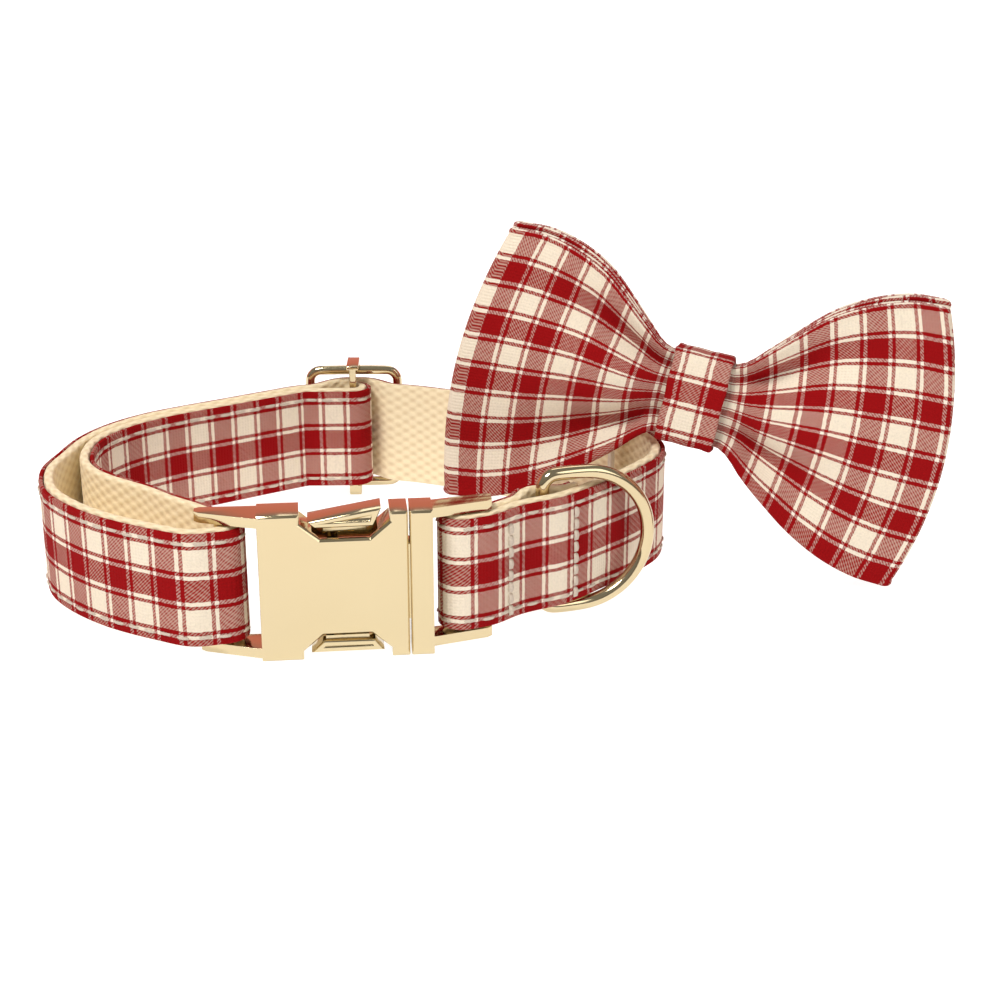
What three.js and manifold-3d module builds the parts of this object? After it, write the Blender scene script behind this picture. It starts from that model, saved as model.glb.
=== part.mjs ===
// Pet bow tie collar: a 25 mm plaid band on cream webbing, with a side release buckle,
// a D-ring, a strap slider and a bow on an elastic loop. Millimetres, +Z up.
// The band stands on its edge on a flat surface, at z = 0, with the buckle to the front.

import * as THREE from "three";
import { mergeVertices } from "three/addons/utils/BufferGeometryUtils.js";
import Module from "manifold-3d";

const wasm = await Module();
wasm.setup();

// Driving sizes of the band
const BAND_WIDTH = 25; // the webbing's own width
const BAND_FLOOR = 3.5; // height of its lower edge
const WEBBING = 2.0; // thickness of the cream webbing
const COVER = 0.9; // thickness of the plaid cloth sewn on it
const COVER_INSET = 0.3; // the cloth stops this far inside each edge of the webbing
const PLY_GAP = 0.2; // between webbing and cloth
const LAYER_GAP = 0.4; // between two layers of band
const FIT = 0.3; // running clearance of cloth round metal
const WRAP_FIT = 0.55; // and where it turns round a bar
const LOOP_WIDTH = 133.2; // loop of the band's middle line, side to side
const LOOP_DEPTH = 98.9; // and front to back
const LOOP_X = -31.2; // the loop's middle
const LOOP_Y = -2.75;
const STATION = 6; // spacing of the band's sections
const FINE_STATION = 2.2; // and where it bends round metal
const FINE_REACH = 13; // how far from the metal

// Driving sizes of the buckle
const BUCKLE_RIGHT = 0.5; // foot of its front face, from the front of the loop's middle line
const BUCKLE_BACK = 1.2;
const BUCKLE_YAW = 6; // degrees
const BUCKLE_HEIGHT = 31.6;
const BUCKLE_DEPTH = 8;
const BUCKLE_FOOT = 0.02; // the other metal clears the surface by this
const FEMALE_LENGTH = 30;
const MALE_LENGTH = 4.6;
const BUCKLE_SEAM = 0.4; // open line between the two halves
const BUCKLE_BEVEL = 0.45;
const PLATE_WALL = 1.4;
const SLEEVE_END = 4; // solid end of the female half
const NOTCH_OFF = 2.4; // middle of the notches from the middle of the female half
const NOTCH_DEPTH = 5.4;
const NOTCH_STEP = 1.9; // depth of its upright sides
const NOTCH_MOUTH = 18;
const NOTCH_FLAT = 9.9;
const NOTCH_LIP = 1.4; // how far the sleeve's hollow shows in a notch
const TAB_INSET = 0.9; // a release tab's front behind the plate's
const TAB_EASE = 1.6; // between a notch's sides and its tab
const TAB_HINGE_IN = 5; // middle of a tab's foot, about which it tips, from its left end
const TAB_FOOT = 2.2;
const STEP_IN = 3; // a tab's lower step inside its ends
const STEP_INSET = 1.9; // and behind the plate's front
const ARM_HEIGHT = 2.1;
const FEMALE_ARM = { near: [0.4, 5.3], far: [7.8, 8.2] }; // behind the plate's front, at the
const MALE_ARM = { near: [2.6, 6.0], far: [7.6, 10.2] }; // plate and at the tip
const ARM_ROOT = 1.5; // of an arm inside its plate
const ARM_REACH = 12.4; // arms past the plates
const ARM_TIP = 1;
const ARM_PINCH = 0.6; // an arm thins by this at its tip
const BAR_REACH = 7.3; // web bars past the plates
const FEMALE_BAR_BACK = 6.2; // middle of each web bar behind the plate's front
const MALE_BAR_BACK = 7.6;
const MALE_BAR_SHORT = 1.2; // the male half's bar is this much nearer
const BAR_DIAMETER = 2.6;

// Driving sizes of the D-ring
const DRING_WIRE = 3.1;
const DRING_HEIGHT = 33.4;
const DRING_LENGTH = 25.6; // from the middle of the bar to the outside of the bow
const DRING_LIFT = 0.05; // underside over the surface
const DRING_CORNER = 3.2;
const DRING_TURN = 17; // degrees from +X, as it lies
const DRING_PLACE = 0.066; // share of the band's route where its bar is

// Driving sizes of the slider
const SLIDER_LENGTH = 24;
const SLIDER_CLEAR = 1.4; // inside of the frame over the band's edge
const SLIDER_LIFT = 0.5; // underside of the frame over the surface
const SLIDER_RAIL = 2.2; // face of the frame's wire
const SLIDER_THICK = 1.8;
const SLIDER_CORNER = 4;
const SLIDER_BAR = 1.6; // its square section
const SLIDER_BAR_IN = 2.2; // how far the bar lies inside the band's resting line
const SLIDER_PLACE = 0.495; // share of the band's route where its bar is
const SLIDER_KNOB = 1.2; // thickness of the hooks that join bar and frame
const SLIDER_KNOB_WIDTH = 3;
const SLIDER_EASE = 1.5; // the band lies flat this far each side of the bar

// Driving sizes of the bow
const LEFT_FOLD = { half: 54.2, round: 5, apex: 0.1 }; // reach of a fold from the knot, the
const RIGHT_FOLD = { half: 56, round: 6.25, apex: 0.16 }; // fall to its corners, its low middle
const BOW_HEIGHT = 62.6;
const LEFT_DROOP = 5.6; // how far the left fold hangs lower than the right one
const BOW_WALL = 1.1;
const BOW_GAP = 0.35; // between the walls in the knot
const BOW_PUFF = 11.4; // depth of the two loops at the middle of a wing
const BOW_FOLD_DEPTH = 8.6; // and at the folds
const PLEAT = 4.3; // depth of the pleats beside the knot
const PLEAT_VALLEY = 0.6; // place of their valleys, as a share of the way to the edges
const PLEAT_WAIST = 2.0; // and inside the knot
const KNOT_WIDTH = 13.5;
const KNOT_WALL = 1.3;
const KNOT_CORNER = 2.2;
const KNOT_SINK = 1.5; // middle of the knot under the middle of the wings
const BACK_RISE = 1.1; // how much higher the back loop's wings stand
const BOW_X = 43.6; // middle of the knot
const BOW_Y = 0;
const BOW_LIFT = 0.2; // underside of the knot over the edge of the band, which it passes
const BOW_YAW = -13;
const BOW_TILT = 11;
const BOW_LEAN = -8;
const ELASTIC = 1.0; // thickness of the elastic loop
const ELASTIC_WIDTH = 5;
const HOOP_HALF = 4.2; // half the room that it leaves round the band
const STEM = 3.6; // its half width behind the knot
const ELASTIC_YAW = 4;
const ELASTIC_BEHIND = 10; // behind the middle of the knot

// Worked out from them
const BAND = WEBBING + PLY_GAP + COVER;
const PITCH = BAND + LAYER_GAP;
const BAND_TOP = BAND_FLOOR + BAND_WIDTH;
const SLIDER_HEIGHT = BAND_TOP + SLIDER_CLEAR + SLIDER_RAIL - SLIDER_LIFT;
const BUCKLE_X = LOOP_X + BUCKLE_RIGHT;
const BUCKLE_Y = LOOP_Y - LOOP_DEPTH / 2 + BUCKLE_BACK;
const DRING_RADIUS = DRING_WIRE / 2;
const WRAP = BAR_DIAMETER / 2 + WRAP_FIT + BAND / 2; // bar to the middle of the band round it
const SLIDER_WRAP = SLIDER_BAR / 2 + WRAP_FIT + BAND / 2;
const SLIDER_BUMP = SLIDER_WRAP - SLIDER_BAR_IN + PITCH + LAYER_GAP; // band over the wrapped bar
const SLIDER_OUT = BAND / 2 + FIT + SLIDER_THICK / 2; // rails outside the band
const POCKET = BAND + DRING_WIRE + 2 * WRAP_FIT; // layers apart at the D-ring's bar

const degrees = THREE.MathUtils.degToRad;
const point = (x, y, z = 0) => new THREE.Vector3(x, y, z);

// The middle line of the band from the male half round to the female half, seen from
// above, as shares of half the loop's width and depth from its middle.
const ROUTE = [
  { x: 0.44, y: -0.79 },
  { x: 0.52, y: -0.69 },
  { x: 0.58, y: -0.64 },
  { x: 0.65, y: -0.59 },
  { x: 0.71, y: -0.52 },
  { x: 0.78, y: -0.42 },
  { x: 0.86, y: -0.31 },
  { x: 0.93, y: -0.19 },
  { x: 0.98, y: -0.08 },
  { x: 1.0, y: 0.06 },
  { x: 0.97, y: 0.22 },
  { x: 0.88, y: 0.39 },
  { x: 0.73, y: 0.55 },
  { x: 0.53, y: 0.71 },
  { x: 0.31, y: 0.85 },
  { x: 0.11, y: 0.95 },
  { x: -0.07, y: 0.98 },
  { x: -0.26, y: 0.94 },
  { x: -0.4, y: 0.83 },
  { x: -0.54, y: 0.71 },
  { x: -0.67, y: 0.6 },
  { x: -0.79, y: 0.48 },
  { x: -0.89, y: 0.32 },
  { x: -0.95, y: 0.15 },
  { x: -0.98, y: -0.05 },
  { x: -1.0, y: -0.25 },
  { x: -0.96, y: -0.48 },
  { x: -0.88, y: -0.64 },
  { x: -0.74, y: -0.81 },
  { x: -0.57, y: -0.94 },
  { x: -0.46, y: -1.0 },
];

// How far the inner layer on the left hangs inside the outer one: along the way from the
// female half to the slider, as shares of that way and of the widest space.
const SLACK_WIDTH = 13;
const SLACK = [
  { at: 0.085, apart: 0.81 },
  { at: 0.14, apart: 0.92 },
  { at: 0.21, apart: 1 },
  { at: 0.27, apart: 0.92 },
  { at: 0.33, apart: 0.78 },
  { at: 0.39, apart: 0.5 },
  { at: 0.45, apart: 0.18 },
  { at: 0.53, apart: 0 },
  { at: 0.61, apart: 0 },
  { at: 0.69, apart: 0 },
  { at: 0.77, apart: 0 },
  { at: 0.85, apart: 0 },
  { at: 0.92, apart: 0 },
];

// Profile of a wing from the knot to the fold: half height and pleat depth as shares.
const WING = [
  { at: 0, height: 0.29, pleat: 0, puff: 0 },
  { at: 0.15, height: 0.295, pleat: 0, puff: 0.02 },
  { at: 0.21, height: 0.34, pleat: 0.6, puff: 0.2 },
  { at: 0.28, height: 0.44, pleat: 1, puff: 0.55 },
  { at: 0.4, height: 0.6, pleat: 0.92, puff: 0.85 },
  { at: 0.54, height: 0.77, pleat: 0.66, puff: 1 },
  { at: 0.7, height: 0.9, pleat: 0.36, puff: 1 },
  { at: 0.86, height: 0.98, pleat: 0.14, puff: 0.85 },
  { at: 1, height: 1, pleat: 0.05, puff: 0.6 },
];

// Reads one column of a table of rows at a place between them, on a smooth curve.
function along(rows, at, column) {
  const next = rows.findIndex((row) => row.at >= at);
  if (next <= 0) return rows[0][column];
  const slope = (k) => {
    const low = rows[Math.max(0, k - 1)];
    const high = rows[Math.min(rows.length - 1, k + 1)];
    return (high[column] - low[column]) / (high.at - low.at);
  };
  const [before, after] = [rows[next - 1], rows[next]];
  const span = after.at - before.at;
  const t = (at - before.at) / span;
  const rise = after[column] - before[column];
  const leave = slope(next - 1) * span;
  const arrive = slope(next) * span;
  const bend = t * (1 - t) * ((leave - rise) * (1 - t) + (rise - arrive) * t);
  return before[column] + rise * t + bend;
}

// A bell that is 1 at 0 and 0 at 1 and beyond.
function bell(distance) {
  return distance >= 1 ? 0 : 0.5 + 0.5 * Math.cos(Math.PI * distance);
}

// Turns a mesh's faces outwards, by the sign of its volume.
function facingOut(geometry) {
  const place = geometry.attributes.position;
  const corner = (k) => point(0, 0).fromBufferAttribute(place, geometry.index.getX(k));
  let volume = 0;
  for (let k = 0; k < geometry.index.count; k += 3) {
    volume += corner(k).dot(corner(k + 1).cross(corner(k + 2)));
  }
  if (volume < 0) {
    const flipped = Array.from(geometry.index.array).reverse();
    geometry.setIndex(flipped);
  }
  return geometry;
}

// Joins rows of points into one skin, closed on itself or capped at its two ends.
function loft(rows, closed = false) {
  const sides = rows[0].length;
  const index = [];
  const spans = closed ? rows.length : rows.length - 1;
  for (let i = 0; i < spans; i += 1) {
    const here = i * sides;
    const there = ((i + 1) % rows.length) * sides;
    for (let k = 0; k < sides; k += 1) {
      const next = (k + 1) % sides;
      index.push(here + k, here + next, there + next, here + k, there + next, there + k);
    }
  }
  if (!closed) {
    const last = (rows.length - 1) * sides;
    for (let k = 1; k < sides - 1; k += 1) {
      index.push(0, k + 1, k, last, last + k, last + k + 1);
    }
  }
  const geometry = new THREE.BufferGeometry().setFromPoints(rows.flat());
  geometry.setIndex(index);
  return facingOut(geometry);
}

function solidOf(geometry) {
  const bare = geometry.clone();
  bare.deleteAttribute("normal");
  bare.deleteAttribute("uv");
  const merged = mergeVertices(bare, 1e-3);
  return new wasm.Manifold(
    new wasm.Mesh({
      numProp: 3,
      vertProperties: new Float32Array(merged.attributes.position.array),
      triVerts: new Uint32Array(merged.index.array),
    }),
  );
}

function geometryOf(solid) {
  const mesh = solid.getMesh();
  const geometry = new THREE.BufferGeometry();
  geometry.setAttribute("position", new THREE.BufferAttribute(mesh.vertProperties, 3));
  geometry.setIndex(new THREE.BufferAttribute(mesh.triVerts, 1));
  return geometry;
}

const join = (...shapes) => geometryOf(shapes.map(solidOf).reduce((a, b) => a.add(b)));
const cut = (shape, ...tools) =>
  geometryOf(tools.map(solidOf).reduce((rest, tool) => rest.subtract(tool), solidOf(shape)));

// A block between two corners.
function block(low, high) {
  const size = high.clone().sub(low);
  const middle = high.clone().add(low).multiplyScalar(0.5);
  return new THREE.BoxGeometry(size.x, size.y, size.z).translate(middle.x, middle.y, middle.z);
}

// An outline drawn in x and z, thick in y from the given front.
function slab(outline, front, depth, bevel = 0) {
  const shape = new THREE.Shape(outline.map(([x, z]) => new THREE.Vector2(x, z)));
  const settings = {
    depth: depth - 2 * bevel,
    bevelEnabled: bevel > 0,
    bevelThickness: bevel,
    bevelSize: bevel,
    bevelOffset: -bevel,
    bevelSegments: 1,
  };
  return new THREE.ExtrudeGeometry(shape, settings)
    .rotateX(Math.PI / 2)
    .translate(0, front + depth - bevel, 0);
}

// A closed outline of a rectangle with round corners, as points with their outward side.
function roundedRing(width, height, corner, steps) {
  const points = [];
  for (let quarter = 0; quarter < 4; quarter += 1) {
    const sideways = quarter === 0 || quarter === 3 ? 1 : -1;
    const upward = quarter < 2 ? 1 : -1;
    for (let step = 0; step <= steps; step += 1) {
      const angle = ((quarter + step / steps) * Math.PI) / 2;
      const out = new THREE.Vector2(Math.cos(angle), Math.sin(angle));
      const middle = new THREE.Vector2(
        sideways * (width / 2 - corner),
        upward * (height / 2 - corner),
      );
      points.push({ at: middle.addScaledVector(out, corner), out });
    }
  }
  return points;
}

// Buckle frame, in which the bars are placed
const buckleTurn = new THREE.Euler(0, 0, degrees(BUCKLE_YAW));
const toLoop = (x, y) =>
  point(x, y).applyEuler(buckleTurn).add(point(BUCKLE_X, BUCKLE_Y));
const BUCKLE_LENGTH = FEMALE_LENGTH + BUCKLE_SEAM + MALE_LENGTH;
const FEMALE_LEFT = -BUCKLE_LENGTH / 2;
const FEMALE_RIGHT = FEMALE_LEFT + FEMALE_LENGTH;
const MALE_LEFT = FEMALE_RIGHT + BUCKLE_SEAM;
const MALE_RIGHT = BUCKLE_LENGTH / 2;
const femaleBar = { x: FEMALE_LEFT - BAR_REACH, y: FEMALE_BAR_BACK };
const maleBar = { x: MALE_RIGHT + BAR_REACH - MALE_BAR_SHORT, y: MALE_BAR_BACK };

// The band's resting line, with its ends set on the two bars
const FEMALE_EXIT = degrees(12); // direction of the band where it reaches each bar
const MALE_EXIT = degrees(27);
const FEMALE_WRAP = degrees(130); // how far the band turns round the female half's bar
function besideBar(bar, heading) {
  return toLoop(bar.x, bar.y).add(
    point(Math.sin(heading), -Math.cos(heading)).multiplyScalar(WRAP),
  );
}
const routeStart = besideBar(maleBar, MALE_EXIT);
const routeEnd = besideBar(femaleBar, FEMALE_EXIT);
const route = new THREE.CatmullRomCurve3(
  [
    routeStart,
    ...ROUTE.map((row) =>
      point(LOOP_X + (row.x * LOOP_WIDTH) / 2, LOOP_Y + (row.y * LOOP_DEPTH) / 2),
    ),
    routeEnd,
  ],
  false,
  "centripetal",
);
route.arcLengthDivisions = 2000;
const routeLength = route.getLength();
const inward = (share) => {
  const heading = route.getTangentAt(share);
  return point(-heading.y, heading.x);
};

const SLIDER_HALF = SLIDER_LENGTH / 2 - SLIDER_RAIL / 2;
function overBar(past) {
  return SLIDER_BUMP * bell(Math.max(0, past - SLIDER_EASE) / (SLIDER_HALF - SLIDER_EASE));
}

// The outer layer stands off its resting line where it passes over the slider's bar.
function outerLayer(share) {
  const apart = Math.abs(share - SLIDER_PLACE) * routeLength;
  return route.getPointAt(share).addScaledVector(inward(share), -overBar(apart));
}

// Pitch of the inner layer from the outer one on the right: round the male half's bar,
// then round the D-ring's bar.
const POCKET_HALF = 6.5;
const POCKET_FLAT = 1.2;
const POCKET_TAIL = 3.5; // band past the pocket
const BAR_BLEND = 9;
function rightPitch(share) {
  const atBar = (2 * WRAP - PITCH) * bell((share * routeLength) / BAR_BLEND);
  const fromRing = Math.abs(share - DRING_PLACE) * routeLength;
  const ringShare = Math.max(0, fromRing - POCKET_FLAT) / POCKET_HALF;
  return PITCH + atBar + (POCKET - PITCH) * bell(ringShare);
}
const END_PLACE = DRING_PLACE + (POCKET_HALF + POCKET_TAIL) / routeLength;

// The band's turn round a bar, between two layers.
function turnRound(centre, from, turn = Math.PI, steps = 8) {
  return Array.from({ length: steps - 1 }, (_, k) =>
    from
      .clone()
      .sub(centre)
      .applyAxisAngle(point(0, 0, 1), (turn * (k + 1)) / steps)
      .add(centre),
  );
}

// Places along the route, closer together by the bars, the ring and the slider.
function shares(from, to) {
  const way = Math.sign(to - from);
  const fine = [0, DRING_PLACE, SLIDER_PLACE, 1].map((share) => share * routeLength);
  const spacing = (length) =>
    fine.some((place) => Math.abs(place - length) < FINE_REACH) ? FINE_STATION : STATION;
  const places = [from];
  let length = from * routeLength;
  const end = to * routeLength;
  for (;;) {
    const step = spacing(length);
    if (Math.abs(end - length) < 1.5 * step) break;
    length += way * step;
    places.push(length / routeLength);
  }
  return [...places, to];
}
const beside = (pitch) => (share) =>
  outerLayer(share).addScaledVector(inward(share), pitch(share));

// The whole band, from its end by the D-ring to its end at the slider
const sliderBarAt = route
  .getPointAt(SLIDER_PLACE)
  .addScaledVector(inward(SLIDER_PLACE), SLIDER_BAR_IN);
const maleBarAt = routeStart.clone().addScaledVector(inward(0), WRAP);
const femaleBarAt = routeEnd.clone().addScaledVector(inward(1), WRAP);
const innerLeftEnd = sliderBarAt.clone().addScaledVector(inward(SLIDER_PLACE), SLIDER_WRAP);
const innerLeftStart = routeEnd
  .clone()
  .sub(femaleBarAt)
  .applyAxisAngle(point(0, 0, 1), FEMALE_WRAP)
  .add(femaleBarAt);
const innerLeft = new THREE.CatmullRomCurve3(
  [
    innerLeftStart,
    ...SLACK.map(({ at, apart }) => {
      const share = 1 - at * (1 - SLIDER_PLACE);
      const pitch = PITCH + apart * SLACK_WIDTH;
      return outerLayer(share).addScaledVector(inward(share), pitch);
    }),
    innerLeftEnd.clone().addScaledVector(route.getTangentAt(SLIDER_PLACE), SLIDER_HALF),
    innerLeftEnd,
  ],
  false,
  "centripetal",
);
innerLeft.arcLengthDivisions = 1000;

// Places along a curve, closer together within reach of its two ends.
function placesOn(curve, reach) {
  const length = curve.getLength();
  const places = [0];
  for (;;) {
    const here = places.at(-1);
    const step = here < reach || length - here < reach + STATION ? FINE_STATION : STATION;
    if (length - here < 1.5 * step) break;
    places.push(here + step);
  }
  return [...places, length].map((place) => curve.getPointAt(place / length));
}

const bandLine = [
  ...shares(END_PLACE, 0).map(beside(rightPitch)),
  ...turnRound(maleBarAt, maleBarAt.clone().addScaledVector(inward(0), WRAP)),
  ...shares(0, 1).map(outerLayer),
  ...turnRound(femaleBarAt, routeEnd, FEMALE_WRAP),
  ...placesOn(innerLeft, FINE_REACH),
  ...turnRound(sliderBarAt, innerLeftEnd),
  sliderBarAt.clone().addScaledVector(inward(SLIDER_PLACE), -SLIDER_WRAP),
];

// Sections of a strip that follows the band's line, between two offsets to its left.
function strip(line, left, right, low, high, chamfer) {
  const rows = line.map((at, k) => {
    const before = line[Math.max(0, k - 1)];
    const after = line[Math.min(line.length - 1, k + 1)];
    const heading = after.clone().sub(before).normalize();
    const side = point(-heading.y, heading.x);
    const turn = at.clone().sub(before).normalize().dot(heading);
    const mitre = k > 0 && k < line.length - 1 ? 1 / Math.max(0.8, turn) : 1;
    const square = [
      [left, low],
      [left, high],
      [right, high],
      [right, low],
    ];
    const eased = [
      [left - chamfer, low],
      [left, low + chamfer],
      [left, high - chamfer],
      [left - chamfer, high],
      [right + chamfer, high],
      [right, high - chamfer],
      [right, low + chamfer],
      [right + chamfer, low],
    ];
    const corners = chamfer > 0 ? eased : square;
    return corners.map(([offset, z]) =>
      at.clone().addScaledVector(side, offset * mitre).setZ(z),
    );
  });
  return loft(rows);
}

const webbing = strip(
  bandLine, BAND / 2, BAND / 2 - WEBBING, BAND_FLOOR, BAND_TOP, 0.5,
);
const plaidCover = strip(
  bandLine,
  COVER - BAND / 2,
  -BAND / 2,
  BAND_FLOOR + COVER_INSET,
  BAND_TOP - COVER_INSET,
  0,
);

// One outline of a notch in a plate's edge, from left to right.
const NOTCH_MIDDLE = (FEMALE_LEFT + FEMALE_RIGHT) / 2 + NOTCH_OFF;
const notch = (edge, way) => [
  [NOTCH_MIDDLE - NOTCH_MOUTH / 2, edge],
  [NOTCH_MIDDLE - NOTCH_MOUTH / 2, edge + way * NOTCH_STEP],
  [NOTCH_MIDDLE - NOTCH_FLAT / 2, edge + way * NOTCH_DEPTH],
  [NOTCH_MIDDLE + NOTCH_FLAT / 2, edge + way * NOTCH_DEPTH],
  [NOTCH_MIDDLE + NOTCH_MOUTH / 2, edge + way * NOTCH_STEP],
  [NOTCH_MIDDLE + NOTCH_MOUTH / 2, edge],
];

// A pair of arms, above and below the band, and the web bar between them.
function armsAndBar(edge, bar, outward, sides) {
  const stations = [-ARM_ROOT, 0, ARM_REACH - ARM_TIP, ARM_REACH].map((out) => {
    const share = Math.max(0, out) / ARM_REACH;
    const pinch = out === ARM_REACH ? ARM_PINCH : 0;
    return {
      x: edge + outward * out,
      near: THREE.MathUtils.lerp(...sides.near, share) + pinch,
      far: THREE.MathUtils.lerp(...sides.far, share) - pinch,
    };
  });
  const arm = (low) =>
    loft(
      stations.map(({ x, near, far }) => [
        point(x, near, low),
        point(x, far, low),
        point(x, far, low + ARM_HEIGHT),
        point(x, near, low + ARM_HEIGHT),
      ]),
    );
  const lowArm = (BAND_FLOOR - ARM_HEIGHT) / 2;
  const highArm = (BUCKLE_HEIGHT + BAND_TOP - ARM_HEIGHT) / 2;
  const height = highArm - lowArm;
  const barShape = new THREE.CylinderGeometry(BAR_DIAMETER / 2, BAR_DIAMETER / 2, height, 12)
    .rotateX(Math.PI / 2)
    .translate(bar.x, bar.y, lowArm + ARM_HEIGHT / 2 + height / 2);
  return [arm(lowArm), arm(highArm), barShape];
}

// The female half is a sleeve with a notch above and below, where the tabs stand out.
const femaleOutline = [
  [FEMALE_LEFT, 0],
  ...notch(0, 1),
  [FEMALE_RIGHT, 0],
  [FEMALE_RIGHT, BUCKLE_HEIGHT],
  ...notch(BUCKLE_HEIGHT, -1).reverse(),
  [FEMALE_LEFT, BUCKLE_HEIGHT],
];
const SLEEVE_MARGIN = NOTCH_DEPTH - NOTCH_LIP;
const sleeve = block(
  point(FEMALE_LEFT + SLEEVE_END, PLATE_WALL, SLEEVE_MARGIN),
  point(FEMALE_RIGHT + 1, BUCKLE_DEPTH - PLATE_WALL, BUCKLE_HEIGHT - SLEEVE_MARGIN),
);
const buckleFemale = join(
  cut(slab(femaleOutline, 0, BUCKLE_DEPTH, BUCKLE_BEVEL), sleeve),
  ...armsAndBar(FEMALE_LEFT, femaleBar, -1, FEMALE_ARM),
);

// The male half is a bar with a tongue that fills the sleeve's middle.
const TONGUE_GAP = 0.35;
const TONGUE_MARGIN = NOTCH_DEPTH + 2.2;
const tongue = block(
  point(FEMALE_LEFT + SLEEVE_END + TONGUE_GAP, PLATE_WALL + TONGUE_GAP, TONGUE_MARGIN),
  point(MALE_LEFT + 1, BUCKLE_DEPTH - PLATE_WALL - TONGUE_GAP, BUCKLE_HEIGHT - TONGUE_MARGIN),
);
const maleOutline = [
  [MALE_LEFT, 0],
  [MALE_RIGHT, 0],
  [MALE_RIGHT, BUCKLE_HEIGHT],
  [MALE_LEFT, BUCKLE_HEIGHT],
];
const buckleMale = join(
  slab(maleOutline, 0, BUCKLE_DEPTH, BUCKLE_BEVEL),
  tongue,
  ...armsAndBar(MALE_RIGHT, maleBar, 1, MALE_ARM),
);

// A release tab: a wedge in its notch, deeper towards the male half, with a narrower step
// under it and a foot that reaches the tongue.
const TAB_LEFT = NOTCH_MIDDLE - NOTCH_MOUTH / 2 + TAB_EASE;
const TAB_RIGHT = NOTCH_MIDDLE + NOTCH_MOUTH / 2 - TAB_EASE;
const TAB_HINGE = TAB_LEFT + TAB_HINGE_IN;
const tabFoot = BUCKLE_HEIGHT - TONGUE_MARGIN + TONGUE_GAP;
function tab(leftTop, leftLow, rightLow, rightTop, stepLow) {
  const outline = [
    [TAB_LEFT, BUCKLE_HEIGHT - leftTop],
    [TAB_LEFT + leftLow - leftTop, BUCKLE_HEIGHT - leftLow],
    [TAB_RIGHT - rightLow / 2, BUCKLE_HEIGHT - rightLow],
    [TAB_RIGHT, BUCKLE_HEIGHT - rightTop],
  ];
  const stepTop = BUCKLE_HEIGHT - leftLow + 0.3;
  return join(
    slab(outline, TAB_INSET, BUCKLE_DEPTH - 2 * TAB_INSET, 0.3),
    block(
      point(TAB_LEFT + STEP_IN, STEP_INSET, BUCKLE_HEIGHT - stepLow),
      point(TAB_RIGHT - STEP_IN, BUCKLE_DEPTH - STEP_INSET, stepTop),
    ),
    block(
      point(TAB_HINGE - TAB_FOOT / 2, BUCKLE_DEPTH / 2 - TAB_FOOT / 2, tabFoot),
      point(TAB_HINGE + TAB_FOOT / 2, BUCKLE_DEPTH / 2 + TAB_FOOT / 2, stepTop),
    ),
  );
}
const topTab = tab(1.9, 3.3, 3.2, -0.6, 4.4);
const bottomTab = tab(1.2, 3.7, 3.6, 1.2, 4.5)
  .rotateX(Math.PI)
  .translate(0, BUCKLE_DEPTH, BUCKLE_HEIGHT);

// The D-ring, as a round wire bent in its own plane: x away from the bar, y up.
function dRing() {
  const round = DRING_HEIGHT / 2 - DRING_RADIUS; // wire's middle
  const straight = DRING_LENGTH - DRING_HEIGHT / 2;
  const line = [];
  const bend = (x, y, radius, from, to, steps) => {
    for (let step = 0; step <= steps; step += 1) {
      const angle = degrees(THREE.MathUtils.lerp(from, to, step / steps));
      const out = new THREE.Vector2(Math.cos(angle), Math.sin(angle));
      line.push({ at: out.clone().multiplyScalar(radius).add(new THREE.Vector2(x, y)), out });
    }
  };
  bend(straight, 0, round, -90, 90, 16);
  bend(DRING_CORNER, round - DRING_CORNER, DRING_CORNER, 90, 180, 4);
  bend(DRING_CORNER, DRING_CORNER - round, DRING_CORNER, 180, 270, 4);
  const sides = 10;
  const rows = line.map(({ at, out }) =>
    Array.from({ length: sides }, (_, k) => {
      const angle = ((k + 0.5) / sides) * 2 * Math.PI;
      const reach = Math.cos(angle) * DRING_RADIUS;
      return point(
        at.x + out.x * reach,
        Math.sin(angle) * DRING_RADIUS,
        at.y + out.y * reach,
      );
    }),
  );
  return loft(rows, true);
}

// The slider's frame, flat in x and z, and its bar, whose hooks hold the frame's long rails.
function sliderFrame() {
  const outline = roundedRing(
    SLIDER_LENGTH - SLIDER_RAIL,
    SLIDER_HEIGHT - SLIDER_RAIL,
    SLIDER_CORNER - SLIDER_RAIL / 2,
    4,
  );
  const rows = outline.map(({ at, out }) => {
    const section = [
      [0.5, 0.2],
      [0.2, 0.5],
      [-0.2, 0.5],
      [-0.5, 0.2],
      [-0.5, -0.2],
      [-0.2, -0.5],
      [0.2, -0.5],
      [0.5, -0.2],
    ];
    return section.map(([reach, depth]) =>
      point(
        at.x + out.x * reach * SLIDER_RAIL,
        depth * SLIDER_THICK,
        at.y + out.y * reach * SLIDER_RAIL + SLIDER_HEIGHT / 2,
      ),
    );
  });
  return loft(rows, true);
}

function sliderBar() {
  const near = -SLIDER_OUT - SLIDER_BAR_IN - SLIDER_BAR / 2;
  const frameNear = -SLIDER_THICK / 2 - FIT;
  const frameFar = SLIDER_THICK / 2 + FIT + SLIDER_KNOB;
  const low = BUCKLE_FOOT - SLIDER_LIFT;
  const high = SLIDER_HEIGHT + FIT + SLIDER_KNOB;
  const wide = (size, nearSide, farSide, bottom, top) =>
    block(point(-size / 2, nearSide, bottom), point(size / 2, farSide, top));
  return join(
    wide(SLIDER_BAR, near, near + SLIDER_BAR, low, high),
    wide(SLIDER_KNOB_WIDTH, near, frameFar, SLIDER_HEIGHT + FIT, high),
    wide(SLIDER_KNOB_WIDTH, frameFar - SLIDER_KNOB, frameFar, SLIDER_HEIGHT - SLIDER_RAIL, high),
    wide(SLIDER_KNOB_WIDTH, near, frameNear, low, SLIDER_RAIL),
  );
}

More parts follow.
